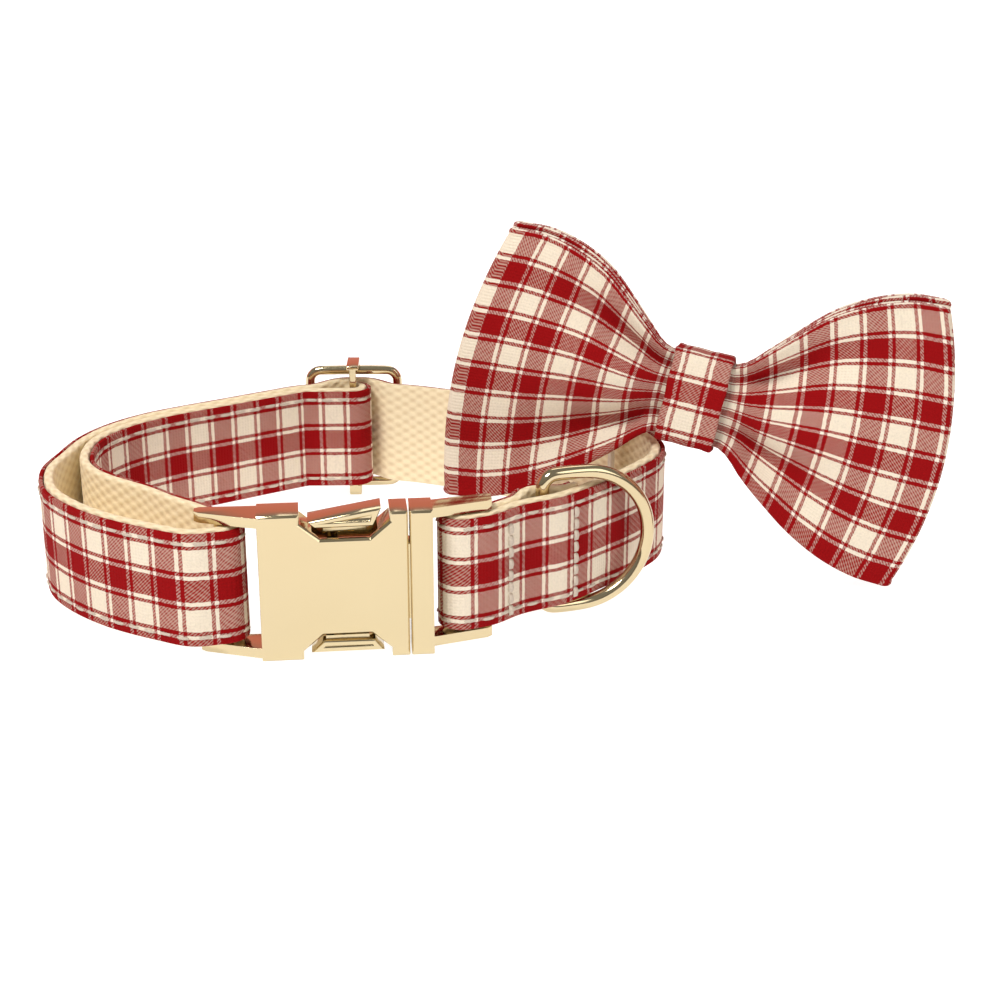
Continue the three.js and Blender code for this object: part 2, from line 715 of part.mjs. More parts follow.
// A wall of the bow at a share of the wing's length and a place from edge to edge.
const waistSpread = 2 * (BOW_WALL + BOW_GAP);
function wingDepth(share, wall) {
  const row = Math.abs(share);
  const puff = along(WING, row, "puff");
  const full = THREE.MathUtils.lerp(BOW_PUFF, BOW_FOLD_DEPTH, Math.max(0, row - 0.7) / 0.3);
  const outer = THREE.MathUtils.lerp(
    waistSpread - (BOW_WALL + BOW_GAP) / 2,
    full / 2 - BOW_WALL / 2,
    puff,
  );
  const inner = THREE.MathUtils.lerp((BOW_WALL + BOW_GAP) / 2, 0.9, puff);
  return wall === "outer" ? outer : inner;
}
function pleat(share, across) {
  const row = Math.abs(share);
  const waist = PLEAT_WAIST * bell(row / 0.25);
  const depth = Math.max(waist, PLEAT * along(WING, row, "pleat"));
  const out = Math.abs(across);
  const past = (out - PLEAT_VALLEY) / (1 - PLEAT_VALLEY);
  return -depth * 0.5 * Math.cos(Math.PI * (past > 0 ? 1 + past : out / PLEAT_VALLEY));
}
const KNOT_SHARE = 0.15; // of a wing's length that the knot hides
function lift(share, side) {
  const row = Math.abs(share);
  const droop = (LEFT_DROOP * Math.min(0, share + KNOT_SHARE)) / (1 - KNOT_SHARE);
  const rise = side > 0 ? BACK_RISE * bell((1 - row) / (1 - KNOT_SHARE)) : 0;
  return droop + rise - KNOT_SINK * bell(Math.max(0, row - KNOT_SHARE) / 0.45);
}
function foldReach(end, across) {
  const fold = end < 0 ? LEFT_FOLD : RIGHT_FOLD;
  return fold.half - fold.round * (across + fold.apex) ** 2;
}

// One loop of the bow: a band of cloth folded at both ends, pleated at its waist.
// Side is -1 for the front loop and 1 for the one behind it.
function bowLoop(side) {
  const wallRows = WING.map((row) => row.at).slice(0, -1);
  const oneWay = [...wallRows.slice(1).reverse().map((at) => -at), ...wallRows];
  const foldSteps = 4;
  const foldRadius = (wingDepth(1, "outer") - wingDepth(1, "inner")) / 2;
  const foldMiddle = (wingDepth(1, "outer") + wingDepth(1, "inner")) / 2;
  const columns = 12;
  const acrossAll = Array.from({ length: columns + 1 }, (_, k) => -1 + (2 * k) / columns);
  const onWall = (share, wall, outwards, across) => {
    const height = (along(WING, Math.abs(share), "height") * BOW_HEIGHT) / 2;
    const reach = share * (foldReach(share, across) - foldRadius - BOW_WALL / 2);
    const facing = wall === "outer" ? 1 : -1;
    const depth = side * (wingDepth(share, wall) + (facing * outwards * BOW_WALL) / 2);
    return point(reach, depth + pleat(share, across), height * across + lift(share, side));
  };
  const onFold = (angle, end, outwards, across) => {
    const radius = foldRadius + (outwards * BOW_WALL) / 2;
    const middle = foldReach(end, across) - foldRadius - BOW_WALL / 2;
    const reach = middle + radius * Math.sin(angle);
    const depth = side * (foldMiddle + radius * Math.cos(angle));
    const height = (BOW_HEIGHT / 2) * across + lift(end, side);
    return point(end * reach, depth + pleat(1, across), height);
  };
  const rows = [];
  const addRow = (place) =>
    rows.push([
      ...acrossAll.map((across) => place(1, across)),
      ...acrossAll.toReversed().map((across) => place(-1, across)),
    ]);
  const addFold = (end, first, last) => {
    for (let step = 0; step <= foldSteps; step += 1) {
      const angle = THREE.MathUtils.lerp(first, last, step / foldSteps);
      addRow((outwards, across) => onFold(angle, end, outwards, across));
    }
  };
  oneWay.forEach((share) =>
    addRow((outwards, across) => onWall(share, "outer", outwards, across)),
  );
  addFold(1, 0, Math.PI);
  oneWay.toReversed().forEach((share) =>
    addRow((outwards, across) => onWall(share, "inner", outwards, across)),
  );
  addFold(-1, Math.PI, 0);
  return loft(rows, true);
}

// The knot: a strip of cloth wrapped once round the waist.
const bundleDepth = 2 * (waistSpread - (BOW_WALL + BOW_GAP) / 2) + BOW_WALL + PLEAT_WAIST;
const KNOT_DEPTH = bundleDepth + 2 * (KNOT_WALL + FIT);
const KNOT_HEIGHT = WING[0].height * BOW_HEIGHT + 2 * (KNOT_WALL + FIT);
const BOW_Z = BAND_TOP + BOW_LIFT + KNOT_HEIGHT / 2 + KNOT_SINK;
function knot() {
  const ring = roundedRing(KNOT_DEPTH, KNOT_HEIGHT, KNOT_CORNER, 4);
  const half = KNOT_WIDTH / 2;
  const rows = ring.map(({ at, out }) => {
    const place = (along, sink) =>
      point(along, at.x - out.x * sink, at.y - out.y * sink - KNOT_SINK);
    return [
      place(-half, 0.5),
      place(0.4 - half, 0),
      place(half - 0.4, 0),
      place(half, 0.5),
      place(half, KNOT_WALL),
      place(-half, KNOT_WALL),
    ];
  });
  return loft(rows, true);
}

// An outline moved outwards by a distance, for outlines drawn anticlockwise.
function grown(outline, distance) {
  return outline.map(([x, y], k) => {
    const before = outline.at(k - 1);
    const after = outline[(k + 1) % outline.length];
    const out = ([ax, ay], [bx, by]) => new THREE.Vector2(by - ay, ax - bx).normalize();
    const one = out(before, [x, y]);
    const two = out([x, y], after);
    const both = one.clone().add(two).normalize();
    const reach = distance / Math.max(0.5, both.dot(one));
    return [x + both.x * reach, y + both.y * reach];
  });
}

// Where the band passes the elastic, from the bow's middle.
function bandAtElastic() {
  const level = BOW_Y + ELASTIC_BEHIND + ELASTIC_WIDTH / 2;
  const right = Array.from({ length: 60 }, (_, k) => route.getPointAt(0.1 + k * 0.005));
  const nearest = (a, b) => (Math.abs(a.y - level) < Math.abs(b.y - level) ? a : b);
  return right.reduce(nearest).x - BOW_X;
}

// The elastic loop: sewn behind the knot, it hangs down round the band.
function elasticLoop() {
  const band = bandAtElastic();
  const low = BAND_FLOOR - FIT - BOW_Z;
  const high = BAND_TOP - BOW_Z;
  const outline = [
    [band - HOOP_HALF, low],
    [band + HOOP_HALF, low],
    [band + HOOP_HALF, high - 1],
    [STEM, -STEM],
    [STEM, STEM],
    [-STEM, STEM],
    [band - HOOP_HALF, high + 1],
  ];
  const toVectors = (points) => points.map(([x, z]) => new THREE.Vector2(x, z));
  const shape = new THREE.Shape(toVectors(grown(outline, ELASTIC)));
  shape.holes.push(new THREE.Path(toVectors(outline)));
  return new THREE.ExtrudeGeometry(shape, { depth: ELASTIC_WIDTH, bevelEnabled: false })
    .rotateX(Math.PI / 2)
    .translate(0, ELASTIC_WIDTH, 0);
}

// Finishes
const finish = (color, roughness, metalness = 0) =>
  new THREE.MeshStandardMaterial({ color, roughness, metalness });
const GOLD = finish("#e6cf9c", 0.18, 1);
const CREAM = finish("#efe0c0", 0.9);
const PLAID = finish("#b4474d", 0.85);

function piece(name, geometry, material) {
  const mesh = new THREE.Mesh(geometry, material);
  mesh.name = name;
  return mesh;
}

function group(at, ...pieces) {
  const made = new THREE.Group();
  made.position.copy(at);
  made.add(...pieces);
  return made;
}

const buckle = group(
  point(BUCKLE_X, BUCKLE_Y),
  piece("buckle_female", buckleFemale, GOLD),
  piece("buckle_male", buckleMale, GOLD),
  piece("release_tab_top", topTab, GOLD),
  piece("release_tab_bottom", bottomTab, GOLD),
);
buckle.setRotationFromEuler(buckleTurn);

const ringPlace = outerLayer(DRING_PLACE).addScaledVector(
  inward(DRING_PLACE),
  POCKET / 2,
);
const ring = group(
  ringPlace.setZ(DRING_LIFT + DRING_HEIGHT / 2),
  piece("d_ring", dRing(), GOLD),
);
ring.rotation.z = degrees(DRING_TURN);

const sliderHeading = route.getTangentAt(SLIDER_PLACE);
const slider = group(
  route
    .getPointAt(SLIDER_PLACE)
    .addScaledVector(inward(SLIDER_PLACE), -SLIDER_OUT)
    .setZ(SLIDER_LIFT),
  piece("slider_frame", sliderFrame(), GOLD),
  piece("slider_bar", sliderBar(), GOLD),
);
slider.rotation.z = Math.atan2(-sliderHeading.y, -sliderHeading.x);

const bow = group(
  point(BOW_X, BOW_Y, BOW_Z),
  piece("bow_front_loop", bowLoop(-1), PLAID),
  piece("bow_back_loop", bowLoop(1), PLAID),
  piece("bow_knot", knot(), PLAID),
);
bow.rotation.set(degrees(BOW_LEAN), degrees(BOW_TILT), degrees(BOW_YAW), "ZYX");

const elastic = group(
  point(BOW_X, BOW_Y, BOW_Z),
  piece("elastic_loop", elasticLoop(), CREAM),
);
elastic.rotation.z = degrees(ELASTIC_YAW);
elastic.children[0].position.y = ELASTIC_BEHIND;

// The whole collar, with its origin on the surface under the middle of its outline
const collar = group(
  point(0, 0),
  piece("webbing", webbing, CREAM),
  piece("plaid_cover", plaidCover, PLAID),
  buckle,
  ring,
  slider,
  bow,
  elastic,
);
const part = new THREE.Group();
part.add(collar);
part.updateMatrixWorld(true);
const extent = new THREE.Box3().setFromObject(collar, true);
const middle = extent.getCenter(point(0, 0));
collar.position.set(-middle.x, -middle.y, -extent.min.z);

export default part;
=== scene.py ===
"""Pet bow tie collar: the looks of its band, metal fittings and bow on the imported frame.

Sizes are millimetres while a piece is shaped, and metres once its mesh is made.
"""

from __future__ import annotations

import cmath
import json
import logging
import math
from collections.abc import Callable, Sequence
from dataclasses import dataclass
from enum import Enum

import bmesh
import bpy
import numpy as np
from mathutils import Euler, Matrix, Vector

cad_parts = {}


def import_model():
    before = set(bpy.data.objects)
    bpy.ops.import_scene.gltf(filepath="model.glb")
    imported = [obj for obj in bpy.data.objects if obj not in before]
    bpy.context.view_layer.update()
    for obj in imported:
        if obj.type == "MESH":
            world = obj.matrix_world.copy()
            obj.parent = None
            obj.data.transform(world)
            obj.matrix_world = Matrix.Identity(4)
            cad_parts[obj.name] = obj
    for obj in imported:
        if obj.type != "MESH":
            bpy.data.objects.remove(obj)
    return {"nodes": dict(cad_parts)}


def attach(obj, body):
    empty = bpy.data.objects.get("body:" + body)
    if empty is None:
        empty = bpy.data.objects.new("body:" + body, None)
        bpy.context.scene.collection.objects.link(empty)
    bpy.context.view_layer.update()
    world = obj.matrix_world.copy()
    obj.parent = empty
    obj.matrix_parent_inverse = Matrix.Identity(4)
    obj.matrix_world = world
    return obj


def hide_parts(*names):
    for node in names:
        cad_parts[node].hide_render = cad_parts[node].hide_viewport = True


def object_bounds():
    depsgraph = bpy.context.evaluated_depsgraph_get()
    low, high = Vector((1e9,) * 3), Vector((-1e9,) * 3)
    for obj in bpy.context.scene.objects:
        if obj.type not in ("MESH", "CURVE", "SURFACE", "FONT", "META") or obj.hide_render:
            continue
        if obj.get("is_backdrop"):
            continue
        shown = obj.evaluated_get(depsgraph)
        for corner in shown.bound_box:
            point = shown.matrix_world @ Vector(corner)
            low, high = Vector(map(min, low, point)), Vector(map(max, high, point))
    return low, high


LOG = logging.getLogger("collar")
MM = 0.001
COLLAR_SHIFT = np.array([0.3822, 0.9108, 0.0])
CLOTH_MAP = "cloth"
BODY = "collar"
SHARP = math.radians(28)
Colour = tuple[float, float, float, float]


class Held(Enum):
    """How a cloth piece is held, in the frame's words."""

    FOLDED = "folded"
    GATHERED = "gathered"


# Shader expressions


def math_method(operation: str, swapped: bool = False) -> Callable[..., Socket]:
    """Makes a method that adds one Math node.

    Args:
        operation: Blender's name of the operation.
        swapped: Whether the other value comes first.

    Returns:
        The method.
    """

    def method(socket: Socket, other: Value = 0.0) -> Socket:
        """Adds the node and gives its result."""
        first, second = (other, socket) if swapped else (socket, other)
        return socket.shader.node("Math", {0: first, 1: second}, operation=operation)

    return method


class Socket:
    """A node's output that adds Math nodes when it is used in an expression."""

    def __init__(self, shader: Shader, output: bpy.types.NodeSocket) -> None:
        """Keeps the output and the shader that owns it."""
        self.shader = shader
        self.output = output

    __add__ = math_method("ADD")
    __radd__ = __add__
    __sub__ = math_method("SUBTRACT")
    __rsub__ = math_method("SUBTRACT", swapped=True)
    __mul__ = math_method("MULTIPLY")
    __rmul__ = __mul__
    __truediv__ = math_method("DIVIDE")
    fraction = math_method("FRACT")
    sine = math_method("SINE")
    size = math_method("ABSOLUTE")

    def clamped(self) -> Socket:
        """Value held between 0 and 1."""
        return self.shader.node("Clamp", {"Value": self})


Value = Socket | float


class Shader:
    """A material under construction."""

    def __init__(self, owner: bpy.types.Material | bpy.types.World) -> None:
        """Starts empty.

        Args:
            owner: The new material or world.
        """
        self.owner = owner
        owner.use_nodes = True
        self.tree = owner.node_tree
        self.tree.nodes.clear()

    def node(
        self, kind: str, sockets: dict | None = None, output: int = 0, **settings: object
    ) -> Socket:
        """Adds a node, sets it and feeds it.

        Args:
            kind: The node's type without its ShaderNode prefix.
            sockets: Numbers or links for its inputs, by name or place.
            output: Which output to return.
            **settings: The node's own settings.

        Returns:
            The chosen output.
        """
        node = self.tree.nodes.new("ShaderNode" + kind)
        for key, value in settings.items():
            setattr(node, key, value)
        for key, value in (sockets or {}).items():
            if isinstance(value, Socket):
                self.tree.links.new(value.output, node.inputs[key])
            else:
                node.inputs[key].default_value = value
        return Socket(self, node.outputs[output])

    def steps(self, factor: Socket, stops: Sequence[tuple[float, Colour]]) -> Socket:
        """A ramp that steps from colour to colour.

        Args:
            factor: The value that it reads.
            stops: Its places and colours.

        Returns:
            The colour.
        """
        colour = self.node("ValToRGB", {0: factor})
        ramp = colour.output.node.color_ramp
        ramp.interpolation = "CONSTANT"
        while len(ramp.elements) < len(stops):
            ramp.elements.new(1.0)
        for element, (place, shade) in zip(ramp.elements, stops):
            element.position = place
            element.color = shade
        return colour

    def mix(
        self, factor: Value, first: Socket | Colour, second: Socket | Colour, blend: str = "MIX"
    ) -> Socket:
        """Mixes two colours by the second one's share, in one of Blender's ways."""
        inputs = {0: factor, 6: first, 7: second}
        return self.node("Mix", inputs, 2, data_type="RGBA", blend_type=blend)

    def cloth_place(self) -> tuple[Socket, Socket]:
        """The place on the flat cloth in millimetres: along it and across it."""
        place = self.node("UVMap", uv_map=CLOTH_MAP)
        across = self.node("SeparateXYZ", {0: place}, 1)
        return self.node("SeparateXYZ", {0: place}, 0), across

    def object_noise(self, scale: float, detail: float = 3.0) -> Socket:
        """Noise of about 0.5, fixed to the object, with its scale for each metre."""
        place = self.node("TexCoord", output=3)
        return self.node("TexNoise", {"Vector": place, "Scale": scale, "Detail": detail})

    def bump(self, height: Socket, distance: float, strength: float = 1.0) -> Socket:
        """Turns a height from 0 to 1, worth a distance in millimetres, into a normal."""
        settings = {"Height": height, "Distance": distance * MM, "Strength": strength}
        return self.node("Bump", settings)

    def finish(self, **sockets: Socket | float | Colour) -> bpy.types.Material:
        """Ends the material with its surface shader.

        Args:
            **sockets: The shader's inputs, with underscores for spaces.

        Returns:
            The material.
        """
        inputs = {key.replace("_", " "): value for key, value in sockets.items()}
        surface = self.node("BsdfPrincipled", inputs)
        self.end("OutputMaterial", surface)
        return self.owner

    def end(self, kind: str, surface: Socket) -> None:
        """Joins a surface to an output node."""
        node = self.tree.nodes.new("ShaderNode" + kind)
        self.tree.links.new(surface.output, node.inputs["Surface"])


# Finishes


@dataclass(frozen=True)
class PlaidFinish:
    """Yarn-dyed plaid cotton: the same stripes both ways, mixed thread by thread."""

    name: str
    along_period: float
    across_period: float
    along_start: float
    across_start: float
    yarn: float = 0.72
    bias: float = 0.38
    soak: float = 0.56
    red: Colour = (0.27, 0.003, 0.004, 1.0)
    cream: Colour = (0.80, 0.69, 0.54, 1.0)
    white: Colour = (0.84, 0.74, 0.62, 1.0)
    wide: float = 0.37
    thin: float = 0.065
    slub: float = 0.35
    twill: float = 0.40
    cross: float = 0.16
    shade: float = 0.80
    speckle: float = 0.34

    def stripes(self) -> list[tuple[float, Colour]]:
        """One repeat of stripes, as their starts and colours."""
        widths = (self.wide, self.thin, self.thin, self.wide, self.thin)
        colours = (self.red, self.white, self.red, self.cream, self.red, self.white)
        return list(zip((sum(widths[:k]) for k in range(6)), colours))

    def material(self) -> bpy.types.Material:
        """Builds the plaid."""
        shader = Shader(bpy.data.materials.new(self.name))
        along, across = shader.cloth_place()
        slub = shader.object_noise(900.0, 2.0) - 0.5
        along_share = (along + slub * self.slub + self.along_start) / self.along_period
        across_share = (across + slub * self.slub + self.across_start) / self.across_period
        weft = shader.steps(along_share.fraction(), self.stripes())
        warp = shader.steps(across_share.fraction(), self.stripes())
        turn = 2.0 * math.pi / self.yarn
        twill = ((along + across) * turn).sine() * self.twill
        cross = ((along - across) * turn * 0.5).sine() * self.cross
        over = (twill + cross + (self.bias + slub * 0.5)).clamped()
        deep = shader.mix(1.0, warp, weft, "DARKEN")
        dyed = shader.mix(self.soak, shader.mix(over, warp, weft), deep)
        speckle = shader.object_noise(2600.0, 2.0)
        shade = (self.shade + speckle * self.speckle).clamped()
        colour = shader.mix(1.0, dyed, shade, "MULTIPLY")
        ribs = (along * turn * 0.5).sine().size() * (across * turn * 0.5).sine().size()
        height = ribs * 0.7 + speckle * 0.3
        return shader.finish(
            Base_Color=colour,
            Roughness=0.88,
            Normal=shader.bump(height, 0.14, 0.8),
            Specular_IOR_Level=0.08,
        )


@dataclass(frozen=True)
class WebbingFinish:
    """Soft cream webbing with short offset ribs and painted shade between them."""

    name: str
    rib_length: float = 1.9
    rib_height: float = 1.15
    light: Colour = (0.90, 0.76, 0.50, 1.0)
    # deep is the painted shade colour between the ribs.
    deep: Colour = (0.72, 0.56, 0.33, 1.0)

    def material(self) -> bpy.types.Material:
        """Builds the webbing."""
        shader = Shader(bpy.data.materials.new(self.name))
        along, across = shader.cloth_place()
        lengths = (along * (math.pi / self.rib_length)).sine()
        rib = lengths * (across * (math.pi / self.rib_height)).sine() * 0.5 + 0.5
        fibre = shader.object_noise(2400.0, 3.0)
        height = (rib * 0.75 + fibre * 0.3).clamped()
        # Painted shade: the colour darkens between the ribs, where shade would fall; the fibre
        # noise adds random tone.
        colour = shader.mix((rib * 1.1 + fibre * 0.4).clamped(), self.deep, self.light)
        return shader.finish(
            Base_Color=colour,
            Roughness=0.92,
            Normal=shader.bump(height, 0.4, 0.8),
            Sheen_Weight=0.15,
            Specular_IOR_Level=0.2,
        )


@dataclass(frozen=True)
class GoldFinish:
    """Pale polished gold plate with faint handling marks."""

    name: str
    base: Colour = (0.63, 0.52, 0.32, 1.0)
    deep: Colour = (0.58, 0.46, 0.27, 1.0)
    roughness: float = 0.11

    def material(self) -> bpy.types.Material:
        """Builds the plate."""
        shader = Shader(bpy.data.materials.new(self.name))
        cloud = shader.object_noise(60.0, 4.0)
        grain = shader.object_noise(1600.0, 2.0)
        colour = shader.mix((cloud * 0.5).clamped(), self.base, self.deep)
        roughness = (cloud * 0.08 + grain * 0.04 + (self.roughness - 0.06)).clamped()
        return shader.finish(
            Base_Color=colour,
            Metallic=1.0,
            Roughness=roughness,
            Normal=shader.bump(grain, 0.004, 0.5),
        )


@dataclass(frozen=True)
class ThreadFinish:
    """Spun sewing thread."""

    name: str
    light: Colour = (0.72, 0.62, 0.50, 1.0)
    deep: Colour = (0.40, 0.31, 0.24, 1.0)

    def material(self) -> bpy.types.Material:
        """Builds the thread."""
        shader = Shader(bpy.data.materials.new(self.name))
        ply = shader.object_noise(5200.0, 2.0)
        colour = shader.mix((ply * 1.6 - 0.3).clamped(), self.deep, self.light)
        return shader.finish(
            Base_Color=colour,
            Roughness=0.7,
            Normal=shader.bump(ply, 0.05),
        )


@dataclass(frozen=True)
class ElasticFinish:
    """Narrow knitted elastic with lengthwise ribs and painted shade in the grooves between them.
    """

    name: str
    rib: float = 0.0011
    light: Colour = (0.82, 0.74, 0.60, 1.0)
    # deep is the painted shade colour in the grooves.
    deep: Colour = (0.50, 0.42, 0.31, 1.0)

    def material(self) -> bpy.types.Material:
        """Builds the elastic."""
        shader = Shader(bpy.data.materials.new(self.name))
        place = shader.node("TexCoord", output=3)
        depth = shader.node("SeparateXYZ", {0: place}, 1)
        ribs = (depth * (2.0 * math.pi / self.rib)).sine() * 0.5 + 0.5
        fibre = shader.object_noise(3000.0, 2.0)
        # Painted shade: the colour darkens in the grooves between the ribs; the fibre noise adds
        # random tone.
        colour = shader.mix((ribs * 0.7 + fibre * 0.4).clamped(), self.deep, self.light)
        return shader.finish(
            Base_Color=colour,
            Roughness=0.85,
            Normal=shader.bump(ribs * 0.7 + fibre * 0.3, 0.2),
        )


@dataclass(frozen=True)
class FloorFinish:
    """Plain pale studio floor."""

    name: str
    light: Colour = (0.46, 0.46, 0.46, 1.0)
    deep: Colour = (0.44, 0.44, 0.44, 1.0)
    glow: float = 0.92

    def material(self) -> bpy.types.Material:
        """Builds the floor."""
        shader = Shader(bpy.data.materials.new(self.name))
        colour = shader.mix(shader.object_noise(4.0), self.light, self.deep)
        return shader.finish(
            Base_Color=colour,
            Roughness=0.9,
            Specular_IOR_Level=0.0,
            Emission_Color=(1.0, 1.0, 1.0, 1.0),
            Emission_Strength=self.glow,
        )


class Finishes:
    """Every material of the collar, made once."""

    def __init__(self) -> None:
        """Makes the materials."""
        self.band_plaid = PlaidFinish("band_plaid", 11.9, 13.0, 4.0, 2.3).material()
        self.bow_plaid = PlaidFinish("bow_plaid", 12.4, 12.6, 1.5, 6.0).material()
        self.knot_plaid = PlaidFinish("knot_plaid", 12.4, 12.6, 9.6, 7.5).material()
        self.webbing = WebbingFinish("cream_webbing").material()
        self.gold = GoldFinish("gold_plate").material()
        self.thread = ThreadFinish("sewing_thread").material()
        self.elastic = ElasticFinish("knit_elastic").material()
        self.floor = FloorFinish("studio_floor").material()


# Mesh tools, where a point on a plane is a complex number


def only(piece: bpy.types.Object) -> None:
    """Selects one object and makes it active."""
    bpy.ops.object.select_all(action="DESELECT")
    piece.select_set(True)
    bpy.context.view_layer.objects.active = piece


def rounded(piece: bpy.types.Object, width: float, segments: int, smooth: float) -> None:
    """Rounds a piece's sharp edges over and shades it smooth.

    Args:
        piece: The piece.
        width: Width of the rounding, in millimetres.
        segments: Steps of the rounding.
        smooth: Largest angle between faces that is shaded smooth, in degrees.
    """
    only(piece)
    bevel = piece.modifiers.new("rounding", "BEVEL")
    bevel.width = width * MM
    bevel.segments = segments
    bevel.limit_method = "ANGLE"
    bevel.angle_limit = SHARP
    bpy.ops.object.modifier_apply(modifier=bevel.name)
    bpy.ops.object.shade_smooth_by_angle(angle=math.radians(smooth))


def copied(node: bpy.types.Object, name: str, quads: bool = False) -> bpy.types.Object:
    """Copies a CAD node's mesh and merges it, for shaping as a new piece.

    Args:
        node: The CAD node.
        name: The new piece's name.
        quads: Whether pairs of triangles become quads, in place of large flat faces.

    Returns:
        The copy.
    """
    piece = bpy.data.objects.new(name, node.data.copy())
    piece.data.materials.clear()
    bpy.context.scene.collection.objects.link(piece)
    only(piece)
    bpy.ops.object.mode_set(mode="EDIT")
    bpy.ops.mesh.select_all(action="SELECT")
    bpy.ops.mesh.remove_doubles(threshold=2e-6)
    if quads:
        bpy.ops.mesh.tris_convert_to_quads(
            face_threshold=math.radians(50), shape_threshold=math.radians(60)
        )
    else:
        bpy.ops.mesh.dissolve_limited(angle_limit=math.radians(1.5))
    bpy.ops.object.mode_set(mode="OBJECT")
    return piece


def way(degrees: float) -> complex:
    """A direction on a plane, from its angle."""
    return cmath.rect(1.0, math.radians(degrees))


def lengths_along(line: np.ndarray) -> np.ndarray:
    """How far along a line each of its points is."""
    return np.append(0.0, np.cumsum(np.abs(np.diff(line))))


def round_box(
    low: complex, high: complex, corner: float, steps: int, mids: Sequence[int]
) -> tuple[np.ndarray, np.ndarray]:
    """A rectangle with round corners, anticlockwise from its right side.

    Args:
        low: Its lower left corner.
        high: Its upper right corner.
        corner: Radius of its corners.
        steps: Steps to each corner.
        mids: Points between the corners, on the top, left, lower and right side.

    Returns:
        The points and their outward directions.
    """
    left, right = low.real + corner, high.real - corner
    bottom, top = (low.imag + corner) * 1j, (high.imag - corner) * 1j
    middles = [right + top, left + top, left + bottom, right + bottom, right + top]
    points = []
    outs = []
    for quarter, between in enumerate(mids):
        for k in range(steps + 1):
            outs.append(way(90 * (quarter + k / steps)))
            points.append(middles[quarter] + outs[-1] * corner)
        side = middles[quarter + 1] - middles[quarter]
        start = points[-1]
        for k in range(1, between + 1):
            outs.append(outs[-1])
            points.append(start + side * k / (between + 1))
    return np.array(points), np.array(outs)


def tube_faces(count: int, sides: int, closed: bool = False, start: int = 0) -> list[tuple]:
    """Faces that join rows of points, each a closed section.

    Args:
        count: The number of rows.
        sides: The number of points in a row.
        closed: Whether the last row joins the first; otherwise both ends are capped.
        start: Index of the first point.

    Returns:
        The faces.
    """
    faces = []
    for i in range(count if closed else count - 1):
        here = start + i * sides
        there = start + ((i + 1) % count) * sides
        for k in range(sides):
            after = (k + 1) % sides
            faces.append((here + k, here + after, there + after, there + k))
    if not closed:
        last = start + (count - 1) * sides
        faces.append(tuple(start + k for k in reversed(range(sides))))
        faces.append(tuple(last + k for k in range(sides)))
    return faces


def lay_map(mesh: bpy.types.Mesh, places: np.ndarray) -> None:
    """Writes the cloth map of a mesh whose faces are those of one tube.

    Args:
        mesh: The mesh.
        places: Flat place of each point, with the first column again after the last one, and
            the first row too where the tube is closed.
    """
    corners = (places[:-1, :-1], places[:-1, 1:], places[1:, 1:], places[1:, :-1])
    flat = np.stack(corners, axis=2).reshape(-1, 2)
    if len(flat) < len(mesh.loops):
        flat = np.concatenate([flat, places[0, -2::-1], places[-1, :-1]])
    mesh.uv_layers.new(name=CLOTH_MAP).data.foreach_set("uv", flat.ravel())


def made(
    name: str, points: np.ndarray, faces: list[tuple], places: np.ndarray | None = None
) -> bpy.types.Object:
    """Makes a smooth piece from points and faces.

    Args:
        name: The piece's name.
        points: Its points in millimetres.
        faces: Its faces.
        places: The cloth's flat places, where the piece has a cloth map.

    Returns:
        The piece, with its faces outwards.
    """
    mesh = bpy.data.meshes.new(name)
    mesh.from_pydata(((points.reshape(-1, 3) + COLLAR_SHIFT) * MM).tolist(), [], faces)
    if places is not None:
        lay_map(mesh, places)
    build = bmesh.new()
    build.from_mesh(mesh)
    bmesh.ops.recalc_face_normals(build, faces=build.faces)
    build.to_mesh(mesh)
    build.free()
    mesh.shade_smooth()
    piece = bpy.data.objects.new(name, mesh)
    bpy.context.scene.collection.objects.link(piece)
    return piece


def dress(
    piece: bpy.types.Object, material: bpy.types.Material, slot: str, body: str, *nodes: str
) -> bpy.types.Object:
    """Gives a piece its material and joins it to the frame.

    Args:
        piece: The piece.
        material: Its material.
        slot: Name of a material slot; not used.
        body: The CAD body that it rides on.
        *nodes: The CAD nodes that it stands for.

    Returns:
        The piece.
    """
    piece.data.materials.clear()
    piece.data.materials.append(material)
    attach(piece, body)
    if nodes:
        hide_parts(*nodes)
    LOG.info("%s: %d faces", piece.name, len(piece.data.polygons))
    return piece


# The band's route, as in the solid model


class Curve:
    """A smooth curve through points on the plan, read by shares of its length."""

    def __init__(self, points: Sequence[complex], samples: int = 6000) -> None:
        """Samples the centripetal curve through the points.

        Args:
            points: Points on the plan, in millimetres.
            samples: How many places are sampled.
        """
        spans = len(points) - 1
        padded = np.array([2 * points[0] - points[1], *points, 2 * points[-1] - points[-2]])
        places = np.linspace(0, spans, samples + 1)
        span = np.minimum(places.astype(int), spans - 1)
        t = places - span
        p0, p1, p2, p3 = (padded[span + k] for k in range(4))
        d0, d1, d2 = (np.sqrt(np.abs(step)) for step in (p1 - p0, p2 - p1, p3 - p2))
        leave = ((p1 - p0) / d0 - (p2 - p0) / (d0 + d1) + (p2 - p1) / d1) * d1
        arrive = ((p2 - p1) / d1 - (p3 - p1) / (d1 + d2) + (p3 - p2) / d2) * d1
        square = -3 * p1 + 3 * p2 - 2 * leave - arrive
        cube = 2 * p1 - 2 * p2 + leave + arrive
        self.line = p1 + leave * t + square * t**2 + cube * t**3
        self.lengths = lengths_along(self.line)
        self.length = float(self.lengths[-1])

    def at(self, share: float) -> complex:
        """The point at a share of the length."""
        return complex(np.interp(share * self.length, self.lengths, self.line))

    def heading(self, share: float) -> complex:
        """The direction at a share of the length."""
        step = self.at(min(1.0, share + 2e-4)) - self.at(max(0.0, share - 2e-4))
        return step / abs(step)


def bell(distance: float) -> float:
    """A bell that is 1 at 0 and 0 at 1 and beyond."""
    return 0.0 if distance >= 1 else 0.5 + 0.5 * math.cos(math.pi * distance)


